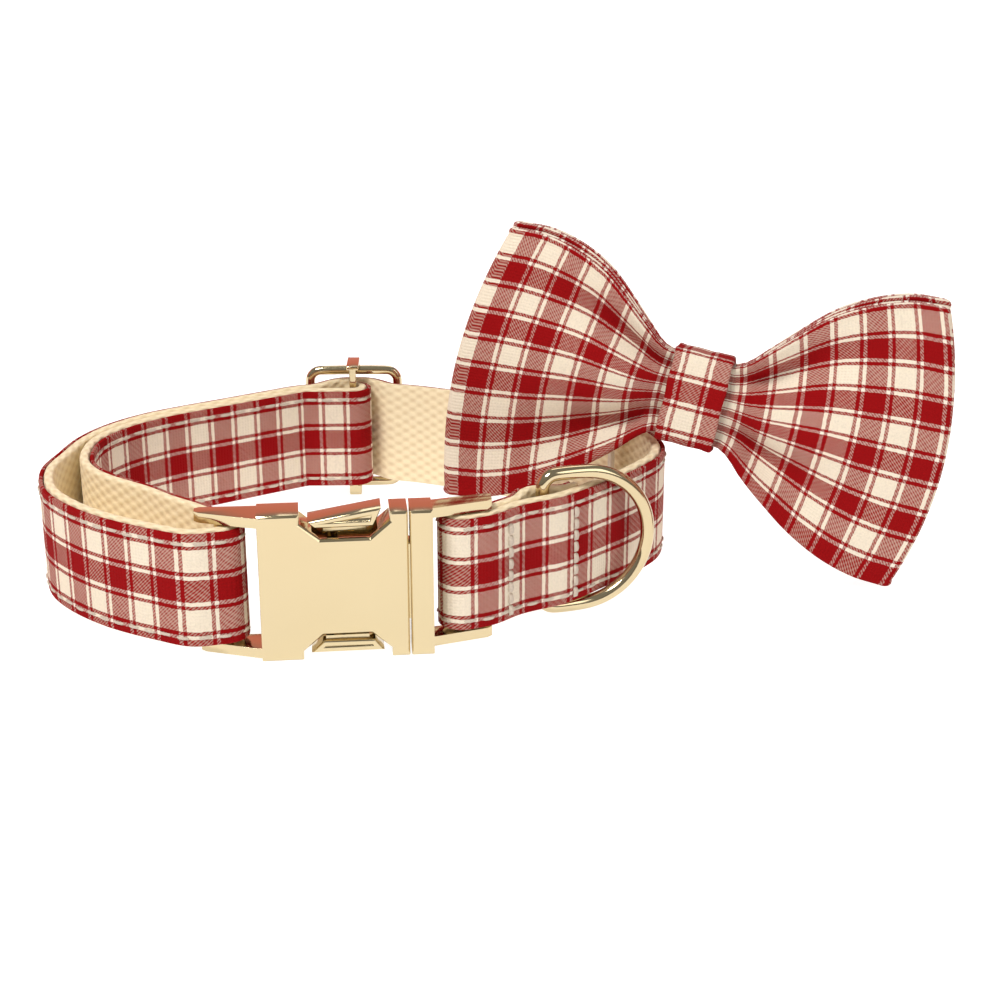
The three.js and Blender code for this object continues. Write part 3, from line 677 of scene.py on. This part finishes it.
def smooth_read(places: Sequence[float], values: Sequence[float], at: float) -> float:
    """Reads a table of values between its places, on a smooth curve.

    Args:
        places: The rows' places.
        values: Their values.
        at: Where to read.

    Returns:
        The value there.
    """
    after = next((k for k, place in enumerate(places) if place >= at), len(places) - 1)
    if after == 0:
        return values[0]

    def slope(k: int) -> float:
        """Slope of the table at one row."""
        low, high = max(0, k - 1), min(len(places) - 1, k + 1)
        return (values[high] - values[low]) / (places[high] - places[low])

    before = after - 1
    span = places[after] - places[before]
    t = (at - places[before]) / span
    rise = values[after] - values[before]
    bend = (slope(before) * span - rise) * (1 - t) + (rise - slope(after) * span) * t
    return values[before] + rise * t + t * (1 - t) * bend


@dataclass
class Route:
    """The band's line on the plan, from its end by the D-ring to its end at the slider."""

    loop_width: float = 133.2
    loop_depth: float = 98.9
    centre: complex = -31.2 - 2.75j
    band: float = 3.1
    layer_gap: float = 0.4
    wrap_fit: float = 0.55
    bar_diameter: float = 2.6
    ring_wire: float = 3.1
    ring_place: float = 0.066
    bar_blend: float = 9.0
    pocket_flat: float = 1.2
    pocket_tail: float = 6.5
    pocket_end: float = 10.0
    slider_place: float = 0.495
    slider_bar: float = 1.6
    slider_bar_in: float = 2.2
    slider_half: float = 10.9
    slider_ease: float = 1.5
    slack_width: float = 13.0
    step: float = 1.3
    rows: tuple[tuple[float, float], ...] = (
        (0.44, -0.79), (0.52, -0.69), (0.58, -0.64), (0.65, -0.59), (0.71, -0.52),
        (0.78, -0.42), (0.86, -0.31), (0.93, -0.19), (0.98, -0.08), (1.0, 0.06),
        (0.97, 0.22), (0.88, 0.39), (0.73, 0.55), (0.53, 0.71), (0.31, 0.85),
        (0.11, 0.95), (-0.07, 0.98), (-0.26, 0.94), (-0.4, 0.83), (-0.54, 0.71),
        (-0.67, 0.6), (-0.79, 0.48), (-0.89, 0.32), (-0.95, 0.15), (-0.98, -0.05),
        (-1.0, -0.25), (-0.96, -0.48), (-0.88, -0.64), (-0.74, -0.81), (-0.57, -0.94),
        (-0.46, -1.0),
    )
    slack: tuple[tuple[float, float], ...] = (
        (0.085, 0.81), (0.14, 0.92), (0.21, 1.0), (0.27, 0.92), (0.33, 0.78), (0.39, 0.5),
        (0.45, 0.18), (0.53, 0.0), (0.61, 0.0), (0.69, 0.0), (0.77, 0.0),
        (0.85, 0.0), (0.92, 0.0),
    )
    male_bar: complex = 17.5 + 7.3 - 1.2 + 7.6j
    female_bar: complex = -17.5 - 7.3 + 6.2j
    male_exit: float = 27.0
    female_exit: float = 12.0
    female_wrap: float = 130.0
    buckle_foot: complex = -30.7 - 51.0j
    buckle_yaw: float = 6.0

    def __post_init__(self) -> None:
        """Lays the resting line and the loose inner layer."""
        self.pitch = self.band + self.layer_gap
        self.wrap = self.bar_diameter / 2 + self.wrap_fit + self.band / 2
        self.slider_wrap = self.slider_bar / 2 + self.wrap_fit + self.band / 2
        self.pocket = self.band + self.ring_wire + 2 * self.wrap_fit
        start = self._beside(self.male_bar, self.male_exit)
        end = self._beside(self.female_bar, self.female_exit)
        half = self.loop_width / 2, self.loop_depth / 2
        middle = [self.centre + complex(x * half[0], y * half[1]) for x, y in self.rows]
        self.rest = Curve([start, *middle, end])
        self.male_at = start + self.inward(0.0) * self.wrap
        self.female_at = end + self.inward(1.0) * self.wrap
        self.slider_at = self._off_rest(self.slider_place, self.slider_bar_in)
        self.line = self._whole()

    def _beside(self, bar: complex, heading: float) -> complex:
        """Where the resting line, at its heading, meets a bar placed in the buckle's frame."""
        return self.buckle_foot + bar * way(self.buckle_yaw) - 1j * self.wrap * way(heading)

    def inward(self, share: float) -> complex:
        """The direction into the loop."""
        return 1j * self.rest.heading(share)

    def _off_rest(self, share: float, inwards: float) -> complex:
        """A point beside the resting line."""
        return self.rest.at(share) + self.inward(share) * inwards

    def outer(self, share: float) -> complex:
        """The outer layer, which stands off where it passes over the slider's bar.

        Args:
            share: Share of the resting line.

        Returns:
            The point on the plan.
        """
        apart = abs(share - self.slider_place) * self.rest.length - self.slider_ease
        bump = self.slider_wrap - self.slider_bar_in + self.pitch + self.layer_gap
        reach = self.slider_half - self.slider_ease
        return self._off_rest(share, -bump * bell(max(0.0, apart) / reach))

    def _right_inner(self, share: float) -> complex:
        """The inner layer between the buckle and just past the D-ring.

        Args:
            share: Share of the resting line.

        Returns:
            The point on the plan.
        """
        at_bar = (2 * self.wrap - self.pitch) * bell(share * self.rest.length / self.bar_blend)
        ring = max(0.0, abs(share - self.ring_place) * self.rest.length - self.pocket_flat)
        pocket = (self.pocket - self.pitch) * bell(ring / self.pocket_tail)
        return self.outer(share) + self.inward(share) * (self.pitch + at_bar + pocket)

    def _left_inner(self) -> list[complex]:
        """The inner layer from the female half to the slider."""
        start = self.female_at + (self.rest.at(1.0) - self.female_at) * way(self.female_wrap)
        heading = self.rest.heading(self.slider_place)
        end = self.slider_at + self.inward(self.slider_place) * self.slider_wrap
        middle = []
        for at, apart in self.slack:
            share = 1 - at * (1 - self.slider_place)
            pitch = self.pitch + apart * self.slack_width
            middle.append(self.outer(share) + self.inward(share) * pitch)
        curve = Curve([start, *middle, end + heading * self.slider_half, end])
        count = round(curve.length / self.step)
        return [curve.at(k / count) for k in range(count + 1)]

    @staticmethod
    def _round(
        centre: complex, start: complex, degrees: float = 180.0, steps: int = 12
    ) -> list[complex]:
        """The turn round a bar, without its two ends."""
        return [centre + (start - centre) * way(degrees * k / steps) for k in range(1, steps)]

    def _whole(self) -> np.ndarray:
        """The whole band's line."""
        length = self.rest.length
        pocket_end = self.ring_place + self.pocket_end / length
        lead = round(pocket_end * length / self.step)
        main = round(length / self.step)
        left = self._left_inner()
        slider_in = self.inward(self.slider_place) * self.slider_wrap
        return np.array([
            *[self._right_inner(pocket_end * (1 - k / lead)) for k in range(lead + 1)],
            *self._round(self.male_at, self._off_rest(0.0, 2 * self.wrap)),
            *[self.outer(k / main) for k in range(main + 1)],
            *self._round(self.female_at, self.rest.at(1.0), self.female_wrap),
            *left,
            *self._round(self.slider_at, left[-1]),
            self.slider_at - slider_in,
        ])


# A stitch's rings: places along it, sizes and heights
STITCH = (
    (-0.5, -0.36, 0.0, 0.36, 0.5),
    (0.35, 0.9, 1.0, 0.9, 0.35),
    (-0.25, 0.25, 0.5, 0.25, -0.25),
)
STITCH_SIDES = 6
STITCH_FLAT = 0.6


@dataclass
class Band:
    """The webbing, the plaid cloth on it and its sewing."""

    finishes: Finishes
    route: Route
    floor: float = 3.5
    width: float = 25.0
    webbing_thick: float = 2.0
    cover_thick: float = 0.9
    inset: float = 0.3
    corner: float = 0.7
    cover_corner: float = 0.42
    stitch_in: float = 2.3
    stitch_length: float = 2.7
    stitch_gap: float = 1.2
    thread: float = 0.36
    seam_thread: float = 0.7
    stitch_wander: float = 0.12
    sewing_start: float = 3.0
    seams: tuple[complex, ...] = (4.2 - 42.0j, 17.2 - 32.0j, -51.6 + 42.0j)
    seam_start: float = 2.4
    seam_step: float = 2.6
    seam_length: float = 2.5
    seam_count: int = 8

    def __post_init__(self) -> None:
        """Works out the way to the line's left and the lengths along it."""
        line = self.route.line
        heading = np.append(line[1:], line[-1]) - np.append(line[0], line[:-1])
        self.side = 1j * heading / np.abs(heading)
        self.lengths = lengths_along(line)

    def _strip(
        self, name: str, left: float, right: float, inset: float, corner: float
    ) -> bpy.types.Object:
        """A strip along the line, round at its long edges.

        Args:
            name: The piece's name.
            left: Offset of one face to the line's left.
            right: Offset of the other face.
            inset: How far it stays inside each edge of the band.
            corner: Radius of its edges.

        Returns:
            The strip, with its cloth map.
        """
        low = self.floor + inset
        high = self.floor + self.width - inset
        outline, _ = round_box(complex(right, low), complex(left, high), corner, 4, (0, 4, 0, 4))
        line = self.route.line
        plan = line[:, None] + self.side[:, None] * outline.real
        heights = np.broadcast_to(outline.imag, plan.shape)
        rows = np.stack([plan.real, plan.imag, heights], axis=2)
        around = lengths_along(np.append(outline, outline[0]))
        places = np.stack(np.meshgrid(self.lengths, around, indexing="ij"), axis=2)
        return made(name, rows, tube_faces(len(line), len(outline)), places)

    def _sewn(
        self, name: str, lengths: np.ndarray, heights: np.ndarray, size: tuple[float, float],
        upright: bool,
    ) -> bpy.types.Object:
        """One piece of many stitches on the cloth's face.

        Args:
            name: The piece's name.
            lengths: How far along the line each stitch is.
            heights: How high each one is.
            size: Their length and half their thickness.
            upright: Whether they run up the band, not along it.

        Returns:
            The piece.
        """
        length, thick = size
        line = np.interp(lengths, self.lengths, self.route.line)
        side = np.interp(lengths, self.lengths, self.side)
        side = side / np.abs(side)
        level = np.zeros(len(lengths))
        out = np.stack([-side.real, -side.imag, level], axis=1)
        along = np.stack([side.imag, -side.real, level], axis=1)
        at = np.stack([line.real, line.imag, heights], axis=1) + out * self.route.band / 2
        if upright:
            along = np.array([0.0, 0.0, 1.0]) + 0.0 * along
        at, along, out = (axis[:, None, None] for axis in (at, along, out))
        place, ring, lift = (np.array(column)[:, None, None] for column in STITCH)
        turn = np.arange(STITCH_SIDES)[None, :, None] * 2 * math.pi / STITCH_SIDES
        round_ = np.cross(along, out) * np.cos(turn) + out * np.sin(turn) * STITCH_FLAT
        points = at + along * place * length + (out * lift + round_ * ring) * thick
        count, rings, sides, _ = points.shape
        faces = []
        for k in range(count):
            faces.extend(tube_faces(rings, sides, start=k * rings * sides))
        return dress(made(name, points, faces), self.finishes.thread, "plaid_cloth", BODY)

    def _edge_stitches(self) -> bpy.types.Object:
        """Running stitches along both edges of the cloth."""
        step = self.stitch_length + self.stitch_gap
        edges = (self.floor + self.stitch_in, self.floor + self.width - self.stitch_in)
        count = int((self.lengths[-1] - 2 * self.sewing_start) / step)
        number, height = (v.ravel() for v in np.meshgrid(np.arange(count), edges, indexing="ij"))
        wander = self.stitch_wander * np.sin(number * 2.7 + height)
        size = (self.stitch_length, self.thread)
        lengths = self.sewing_start + number * step
        return self._sewn("edge_stitching", lengths, height + wander, size, False)

    def _seam_stitches(self) -> bpy.types.Object:
        """Rows of stitches across the band where its layers are sewn together."""
        spots = [int(np.argmin(np.abs(self.route.line - place))) for place in self.seams]
        heights = self.floor + self.seam_start + self.seam_step * np.arange(self.seam_count)
        lengths = np.repeat(self.lengths[spots], self.seam_count)
        size = (self.seam_length, self.seam_thread)
        return self._sewn("seam_stitching", lengths, np.tile(heights, len(spots)), size, True)

    def build(self) -> None:
        """Makes and dresses the band."""
        half = self.route.band / 2
        back = half - self.webbing_thick
        webbing = self._strip("webbing_cloth", half, back, 0.0, self.corner)
        dress(webbing, self.finishes.webbing, "cream_webbing", BODY, "webbing")
        back = self.cover_thick - half
        cover = self._strip("plaid_cloth", back, -half, self.inset, self.cover_corner)
        dress(cover, self.finishes.band_plaid, "plaid_cloth", BODY, "plaid_cover")
        sewing = [self._edge_stitches(), self._seam_stitches()]


@dataclass
class Metal:
    """The buckle, the D-ring and the slider."""

    finishes: Finishes
    nodes: dict[str, bpy.types.Object]
    smooth: float = 40.0
    bevel: float = 0.28
    bar_bevel: float = 0.3
    tab_bevel: float = 0.16
    tab_border: float = 0.75
    tab_slope: float = 0.2
    tab_sink: float = 0.35
    ring_swell: float = 0.05
    loop_swell: float = 0.08

    def _edged(self, piece: bpy.types.Object, width: float) -> None:
        """Rounds all edges of a piece."""
        rounded(piece, width, 3, self.smooth)

    def _tube(self, piece: bpy.types.Object, swell: float) -> None:
        """Makes a ring's wire round and smooth.

        Args:
            piece: The ring.
            swell: How far the wire is grown to keep its thickness.
        """
        finer = piece.modifiers.new("finer", "SUBSURF")
        finer.levels = 2
        finer.render_levels = 2
        bpy.ops.object.modifier_apply(modifier=finer.name)
        bpy.ops.object.mode_set(mode="EDIT")
        bpy.ops.mesh.select_all(action="SELECT")
        bpy.ops.transform.shrink_fatten(value=swell * MM)
        bpy.ops.object.mode_set(mode="OBJECT")
        bpy.ops.object.shade_smooth()

    def _tab(self, piece: bpy.types.Object, width: float) -> None:
        """Sinks a panel in a tab's front and rounds its edges.

        Args:
            piece: The tab.
            width: Width of the rounding.
        """
        bpy.ops.object.mode_set(mode="EDIT")
        bpy.ops.mesh.select_mode(type="FACE")
        bpy.ops.mesh.select_all(action="DESELECT")
        bpy.ops.object.mode_set(mode="OBJECT")
        front = [p for p in piece.data.polygons if p.normal.y < -0.9]
        if front:
            max(front, key=lambda polygon: polygon.area).select = True
            bpy.ops.object.mode_set(mode="EDIT")
            bpy.ops.mesh.inset(thickness=self.tab_border * MM, depth=0)
            bpy.ops.mesh.inset(thickness=self.tab_slope * MM, depth=-self.tab_sink * MM)
            bpy.ops.object.mode_set(mode="OBJECT")
        rounded(piece, width, 2, self.smooth)

    def build(self) -> None:
        """Makes and dresses the metal."""
        for node, name, body, shape, size in (
            ("buckle_female", "buckle_sleeve", BODY, self._edged, self.bevel),
            ("buckle_male", "buckle_bar", BODY, self._edged, self.bevel),
            ("release_tab_top", "top_press_tab", "release_tab_top", self._tab, self.tab_bevel),
            ("release_tab_bottom", "bottom_press_tab", "release_tab_bottom", self._tab,
             self.tab_bevel),
            ("d_ring", "lead_ring", "d_ring", self._tube, self.ring_swell),
            ("slider_frame", "slider_loop", BODY, self._tube, self.loop_swell),
            ("slider_bar", "slider_crossbar", BODY, self._edged, self.bar_bevel),
        ):
            piece = copied(self.nodes[node], name, quads=shape == self._tube)
            shape(piece, size)
            dress(piece, self.finishes.gold, "gold_metal", body, node)


# Steps of a hem: distance from the edge and half the cloth's thickness
HEM = ((0.0, 0.12), (0.12, 0.42), (0.35, 0.64), (0.75, 0.75), (1.2, 0.62), (1.7, 0.36))
# The knot's section: place across its width and depth below its face
KNOT = (
    (-1.0, 0.35), (-0.97, 0.1), (-0.9, 0.0), (-0.8, 0.06), (-0.6, 0.1), (-0.4, 0.1), (-0.2, 0.1),
    (0.0, 0.1), (0.2, 0.1), (0.4, 0.1), (0.6, 0.1), (0.8, 0.06), (0.9, 0.0), (0.97, 0.1),
    (1.0, 0.35), (1.0, 0.9), (0.93, 1.2), (0.0, 1.2), (-0.93, 1.2), (-1.0, 0.9),
)


@dataclass
class Bow:
    """The two pleated loops, the knot and the elastic."""

    finishes: Finishes
    nodes: dict[str, bpy.types.Object]
    half: float = 55.1
    height: float = 62.6
    left_droop: float = 5.6
    left_fold: tuple[float, float, float] = (54.2, 5.0, 0.1)
    right_fold: tuple[float, float, float] = (56.0, 6.25, 0.16)
    wall: float = 1.1
    gap: float = 0.35
    puff: float = 11.4
    fold_start: float = 0.7
    fold_depth: float = 8.6
    inner_depth: float = 0.9
    pleat_depth: float = 5.0
    valley: float = 0.6
    pleat_waist: float = 2.0
    waist_reach: float = 0.25
    crease: float = 0.42
    creases: float = 9.5
    crease_at: float = 0.34
    crease_reach: float = 0.26
    hidden: float = 0.15
    cloth: float = 0.42
    hem_end: float = 2.6
    wing_steps: int = 26
    fold_steps: int = 10
    flat_inset: float = 2.0
    flat_radius: float = 1.5
    gathered: float = 0.8
    knot_width: float = 13.5
    knot_wall: float = 1.3
    knot_corner: float = 2.2
    knot_sink: float = 1.5
    sink_reach: float = 0.45
    knot_pinch: float = 0.35
    knot_crease: float = 0.14
    elastic_bevel: float = 0.3
    knot_saving: float = 6.0
    back_rise: float = 1.1
    fit: float = 0.3
    place: tuple[float, float] = (43.6, 0.0)
    lift: float = 0.2
    band_top: float = 28.5
    lean: float = -8.0
    tilt: float = 11.0
    yaw: float = -13.0
    at: tuple[float, ...] = (0, 0.15, 0.21, 0.28, 0.4, 0.54, 0.7, 0.86, 1)
    heights: tuple[float, ...] = (0.29, 0.295, 0.34, 0.44, 0.6, 0.77, 0.9, 0.98, 1)
    pleats: tuple[float, ...] = (0, 0, 0.6, 1, 0.92, 0.66, 0.36, 0.14, 0.05)
    puffs: tuple[float, ...] = (0, 0.02, 0.2, 0.55, 0.85, 1, 1, 0.85, 0.6)

    def __post_init__(self) -> None:
        """Works out the bow's derived sizes."""
        self.step = self.wall + self.gap
        self.waist = self.step * 1.5
        outer, inner = self._depths(1.0)
        self.radius = (outer - inner) / 2
        thick = 2 * self.waist + self.wall + self.pleat_waist
        self.knot_depth = thick + 2 * (self.knot_wall + self.fit)
        self.knot_height = self.heights[0] * self.height + 2 * (self.knot_wall + self.fit)
        self.z = self.band_top + self.lift + self.knot_height / 2 + self.knot_sink

    def _turned(self, points: np.ndarray) -> np.ndarray:
        """Turns points from the bow's own frame into the collar's."""
        turn = Euler([math.radians(v) for v in (self.lean, self.tilt, self.yaw)]).to_matrix()
        return points @ np.array(turn).T + np.array([*self.place, self.z])

    def _depths(self, share: float) -> tuple[float, float]:
        """Depths of a loop's outer and inner wall from the bow's middle.

        Args:
            share: Share of the wing's length, negative on the left.

        Returns:
            The two depths.
        """
        puff = smooth_read(self.at, self.puffs, abs(share))
        late = max(0.0, abs(share) - self.fold_start) / (1 - self.fold_start)
        full = self.puff + (self.fold_depth - self.puff) * late
        outer = self.waist + (full / 2 - self.wall / 2 - self.waist) * puff
        return outer, self.step / 2 + (self.inner_depth - self.step / 2) * puff

    def _pleat(self, share: float, across: np.ndarray) -> np.ndarray:
        """How far back the pleats and the small creases move the cloth.

        Args:
            share: Share of the wing's length.
            across: Places from edge to edge, from -1 to 1.

        Returns:
            The distances.
        """
        row = abs(share)
        waist = self.pleat_waist * bell(row / self.waist_reach)
        depth = max(waist, self.pleat_depth * smooth_read(self.at, self.pleats, row))
        phase = np.interp(np.abs(across), (0, self.valley, 1), (0, 1, 2))
        sunk = (0.5 - 0.5 * np.cos(math.pi * phase)) ** 1.5
        start = 1.0 if share > 0 else 1.7
        wave = np.sin(self.creases * across + start) * (1 - across**4)
        near = bell(abs(row - self.crease_at) / self.crease_reach)
        return depth * (sunk - 0.5) + self.crease * near * wave

    def _lift(self, share: float, side: int) -> float:
        """How much higher the cloth is than the bow's middle line.

        Args:
            share: Share of the wing's length.
            side: -1 for the front loop and 1 for the back one.

        Returns:
            The height.
        """
        row = abs(share)
        droop = self.left_droop * min(0.0, share + self.hidden) / (1 - self.hidden)
        rise = self.back_rise * bell((1 - row) / (1 - self.hidden)) if side > 0 else 0.0
        near = bell(max(0.0, row - self.hidden) / self.sink_reach)
        return droop + rise - self.knot_sink * near

    def _section(self, share: float, angle: float, side: int) -> tuple[np.ndarray, np.ndarray]:
        """A loop's cloth from edge to edge and back round its thickness, with rolled hems.

        Args:
            share: Share of the wing's length.
            angle: Turn round the end's fold, 0 on the outer wall and pi on the inner one.
            side: -1 for the front loop and 1 for the back one.

        Returns:
            The points in the bow's own frame, and their places from edge to edge, with the
            first one again.
        """
        height = smooth_read(self.at, self.heights, abs(share)) * self.height / 2
        inset, roll = np.array(HEM).T
        end = 1 - self.hem_end / height
        edge = inset / height - 1
        there = np.concatenate([edge, np.linspace(-end, end, 33), -edge[::-1]])
        thick = np.concatenate([roll, np.full(33, self.cloth), roll[::-1]])
        across = np.append(there, there[::-1])
        half, fall, apex = self.left_fold if share < 0 else self.right_fold
        reach = half - fall * (across + apex) ** 2 - self.radius - self.wall / 2
        outer, inner = self._depths(share)
        bend = (outer - inner) / 2 + np.append(thick, -thick[::-1])
        depth = side * ((outer + inner) / 2 + bend * math.cos(angle))
        points = np.stack([
            share * reach + math.copysign(math.sin(angle), share) * bend,
            depth + self._pleat(share, across),
            height * across + self._lift(share, side),
        ], axis=1)
        return points, np.append(across, across[0])

    def _loop(self, name: str, side: int) -> bpy.types.Object:
        """One loop of the bow, a band of cloth folded at both ends.

        Args:
            name: The piece's name.
            side: -1 for the front loop and 1 for the back one.

        Returns:
            The piece.
        """
        reach = self.half - self.radius - self.wall / 2
        turn = math.pi * self.radius
        shares = [k / self.wing_steps for k in range(1 - self.wing_steps, self.wing_steps)]
        bends = [k / self.fold_steps for k in range(self.fold_steps + 1)]
        sections = [
            *[(share, 0.0, share * reach) for share in shares],
            *[(1.0, math.pi * bend, reach + turn * bend) for bend in bends],
            *[(share, math.pi, (2 - share) * reach + turn) for share in reversed(shares)],
            *[(-1.0, math.pi * (1 - bend), 3 * reach + turn * (1 + bend)) for bend in bends],
        ]
        rows = []
        places = []
        for share, angle, along in sections:
            points, across = self._section(share, angle, side)
            rows.append(points)
            places.append([(along, place * self.height / 2) for place in across])
        places.append([(3 * reach + 2 * turn, across) for _, across in places[0]])
        points = self._turned(np.array(rows))
        return made(name, points, tube_faces(*points.shape[:2], closed=True), np.array(places))

    def _knot(self) -> bpy.types.Object:
        """The strip of cloth wrapped round the waist."""
        high = complex(self.knot_depth, self.knot_height) / 2
        ring, outs = round_box(-high, high, self.knot_corner, 6, (7, 7, 7, 7))
        half = self.knot_width / 2
        place, sink = np.array(KNOT).T
        around = lengths_along(ring)
        crease = self.knot_crease * np.sin(place * 7 + around[:, None] * 0.12)
        deep = sink + np.maximum(0.0, crease) * (sink < 0.5)
        spot = ring[:, None] - outs[:, None] * deep
        narrow = half - self.knot_pinch * np.abs(np.sin(around[:, None] * 0.35))
        rows = np.stack([place * narrow, spot.real, spot.imag - self.knot_sink], axis=2)
        across = np.append(place, place[0]) * half
        along = lengths_along(np.append(ring, ring[0]))
        places = np.stack(np.meshgrid(across, along), axis=2)
        points = self._turned(rows)
        faces = tube_faces(*points.shape[:2], closed=True)
        return made("knot_cloth", points, faces, places)

    def build(self) -> None:
        """Makes and dresses the bow."""
        for name, node, side in (
            ("front_bow_cloth", "bow_front_loop", -1),
            ("back_bow_cloth", "bow_back_loop", 1),
        ):
            loop = self._loop(name, side)
            dress(loop, self.finishes.bow_plaid, "plaid_cloth", BODY, node)
        knot = self._knot()
        dress(knot, self.finishes.knot_plaid, "plaid_cloth", BODY, "bow_knot")
        elastic = copied(self.nodes["elastic_loop"], "elastic_band")
        rounded(elastic, self.elastic_bevel, 3, 50.0)
        dress(elastic, self.finishes.elastic, "elastic", BODY, "elastic_loop")


@dataclass(frozen=True)
class SoftBox:
    """One studio light."""

    name: str
    place: tuple[float, float, float]
    size: float
    power: float


@dataclass
class Studio:
    """The camera, the floor and the lights."""

    finishes: Finishes
    target: tuple[float, float, float] = (0.0003822, 0.0009108, 0.015)
    distance: float = 0.418
    elevation: float = 21.0
    lens_share: float = 1.845
    sensor: float = 36.0
    nearest: float = 0.01
    floor_size: float = 8.0
    white: Colour = (0.27, 0.27, 0.27, 1.0)
    low: Colour = (0.12, 0.08, 0.05, 1.0)
    band: Colour = (0.78, 0.26, 0.21, 1.0)
    boxes: tuple[SoftBox, ...] = (
        SoftBox("key", (-0.35, -0.45, 0.85), 0.3, 8.0),
        SoftBox("fill", (0.6, -0.5, 0.5), 0.5, 1.5),
        SoftBox("back", (0.1, 0.7, 0.9), 0.6, 2.0),
    )

    def _camera(self) -> None:
        """Sets the camera at the photograph's angle."""
        rise = math.radians(self.elevation)
        data = bpy.data.cameras.new("camera")
        data.sensor_width = self.sensor
        data.lens = self.sensor * self.lens_share
        data.clip_start = self.nearest
        camera = bpy.data.objects.new("camera", data)
        x, y, z = self.target
        camera.location = (
            x, y - self.distance * math.cos(rise), z + self.distance * math.sin(rise),
        )
        camera.rotation_euler = (math.radians(90 - self.elevation), 0, 0)
        bpy.context.scene.collection.objects.link(camera)
        bpy.context.scene.camera = camera

    def _floor(self) -> None:
        """Lays the floor."""
        bpy.ops.object.select_all(action="DESELECT")
        bpy.ops.mesh.primitive_plane_add(size=self.floor_size)
        floor = bpy.context.active_object
        floor.name = "floor"
        floor.data.materials.append(self.finishes.floor)
        floor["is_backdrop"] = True

    def _light(self, box: SoftBox) -> None:
        """Hangs one light, aimed at the collar.

        Args:
            box: The light's name, place, size and power.
        """
        data = bpy.data.lights.new(box.name, "AREA")
        data.size = box.size
        data.energy = box.power
        light = bpy.data.objects.new(box.name, data)
        light.location = box.place
        aim = Vector(self.target) - Vector(box.place)
        light.rotation_euler = aim.to_track_quat("-Z", "Y").to_euler()
        bpy.context.scene.collection.objects.link(light)

    def _world(self) -> None:
        """Sets a pale surround, with a red band low behind the collar and a brown one in front."""
        world = bpy.data.worlds.new("studio")
        shader = Shader(world)
        sky = shader.node("TexCoord")
        behind = (shader.node("SeparateXYZ", {0: sky}, 1) * 3.0 + 0.5).clamped()
        rise = shader.node("SeparateXYZ", {0: sky}, 2)
        back = shader.mix(((rise - 0.42) * 6.0).clamped(), self.band, self.white)
        front = shader.mix((rise * 5.0).clamped(), self.low, self.white)
        colour = shader.mix(behind, front, back)
        light = shader.node("Background", {"Color": colour, "Strength": 1.0})
        shader.end("OutputWorld", light)
        bpy.context.scene.world = world

    def build(self) -> None:
        """Sets the whole studio."""
        self._camera()
        self._floor()
        for box in self.boxes:
            self._light(box)
        self._world()
        view = bpy.context.scene.view_settings
        view.view_transform = "Standard"
        view.look = "None"


def plain_box(bounds: object) -> list:
    """A box as plain lists of numbers."""
    return json.loads(json.dumps(bounds, default=lambda v: [float(x) for x in v]))


def main() -> None:
    """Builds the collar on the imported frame."""
    logging.basicConfig(level=logging.INFO, format="%(message)s")
    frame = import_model()
    cad_box = plain_box(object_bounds())
    finishes = Finishes()
    Studio(finishes).build()
    Band(finishes, Route()).build()
    Metal(finishes, frame["nodes"]).build()
    Bow(finishes, frame["nodes"]).build()
    {"cad": cad_box, "visual": plain_box(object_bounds())}


if __name__ == "__main__":
    main()
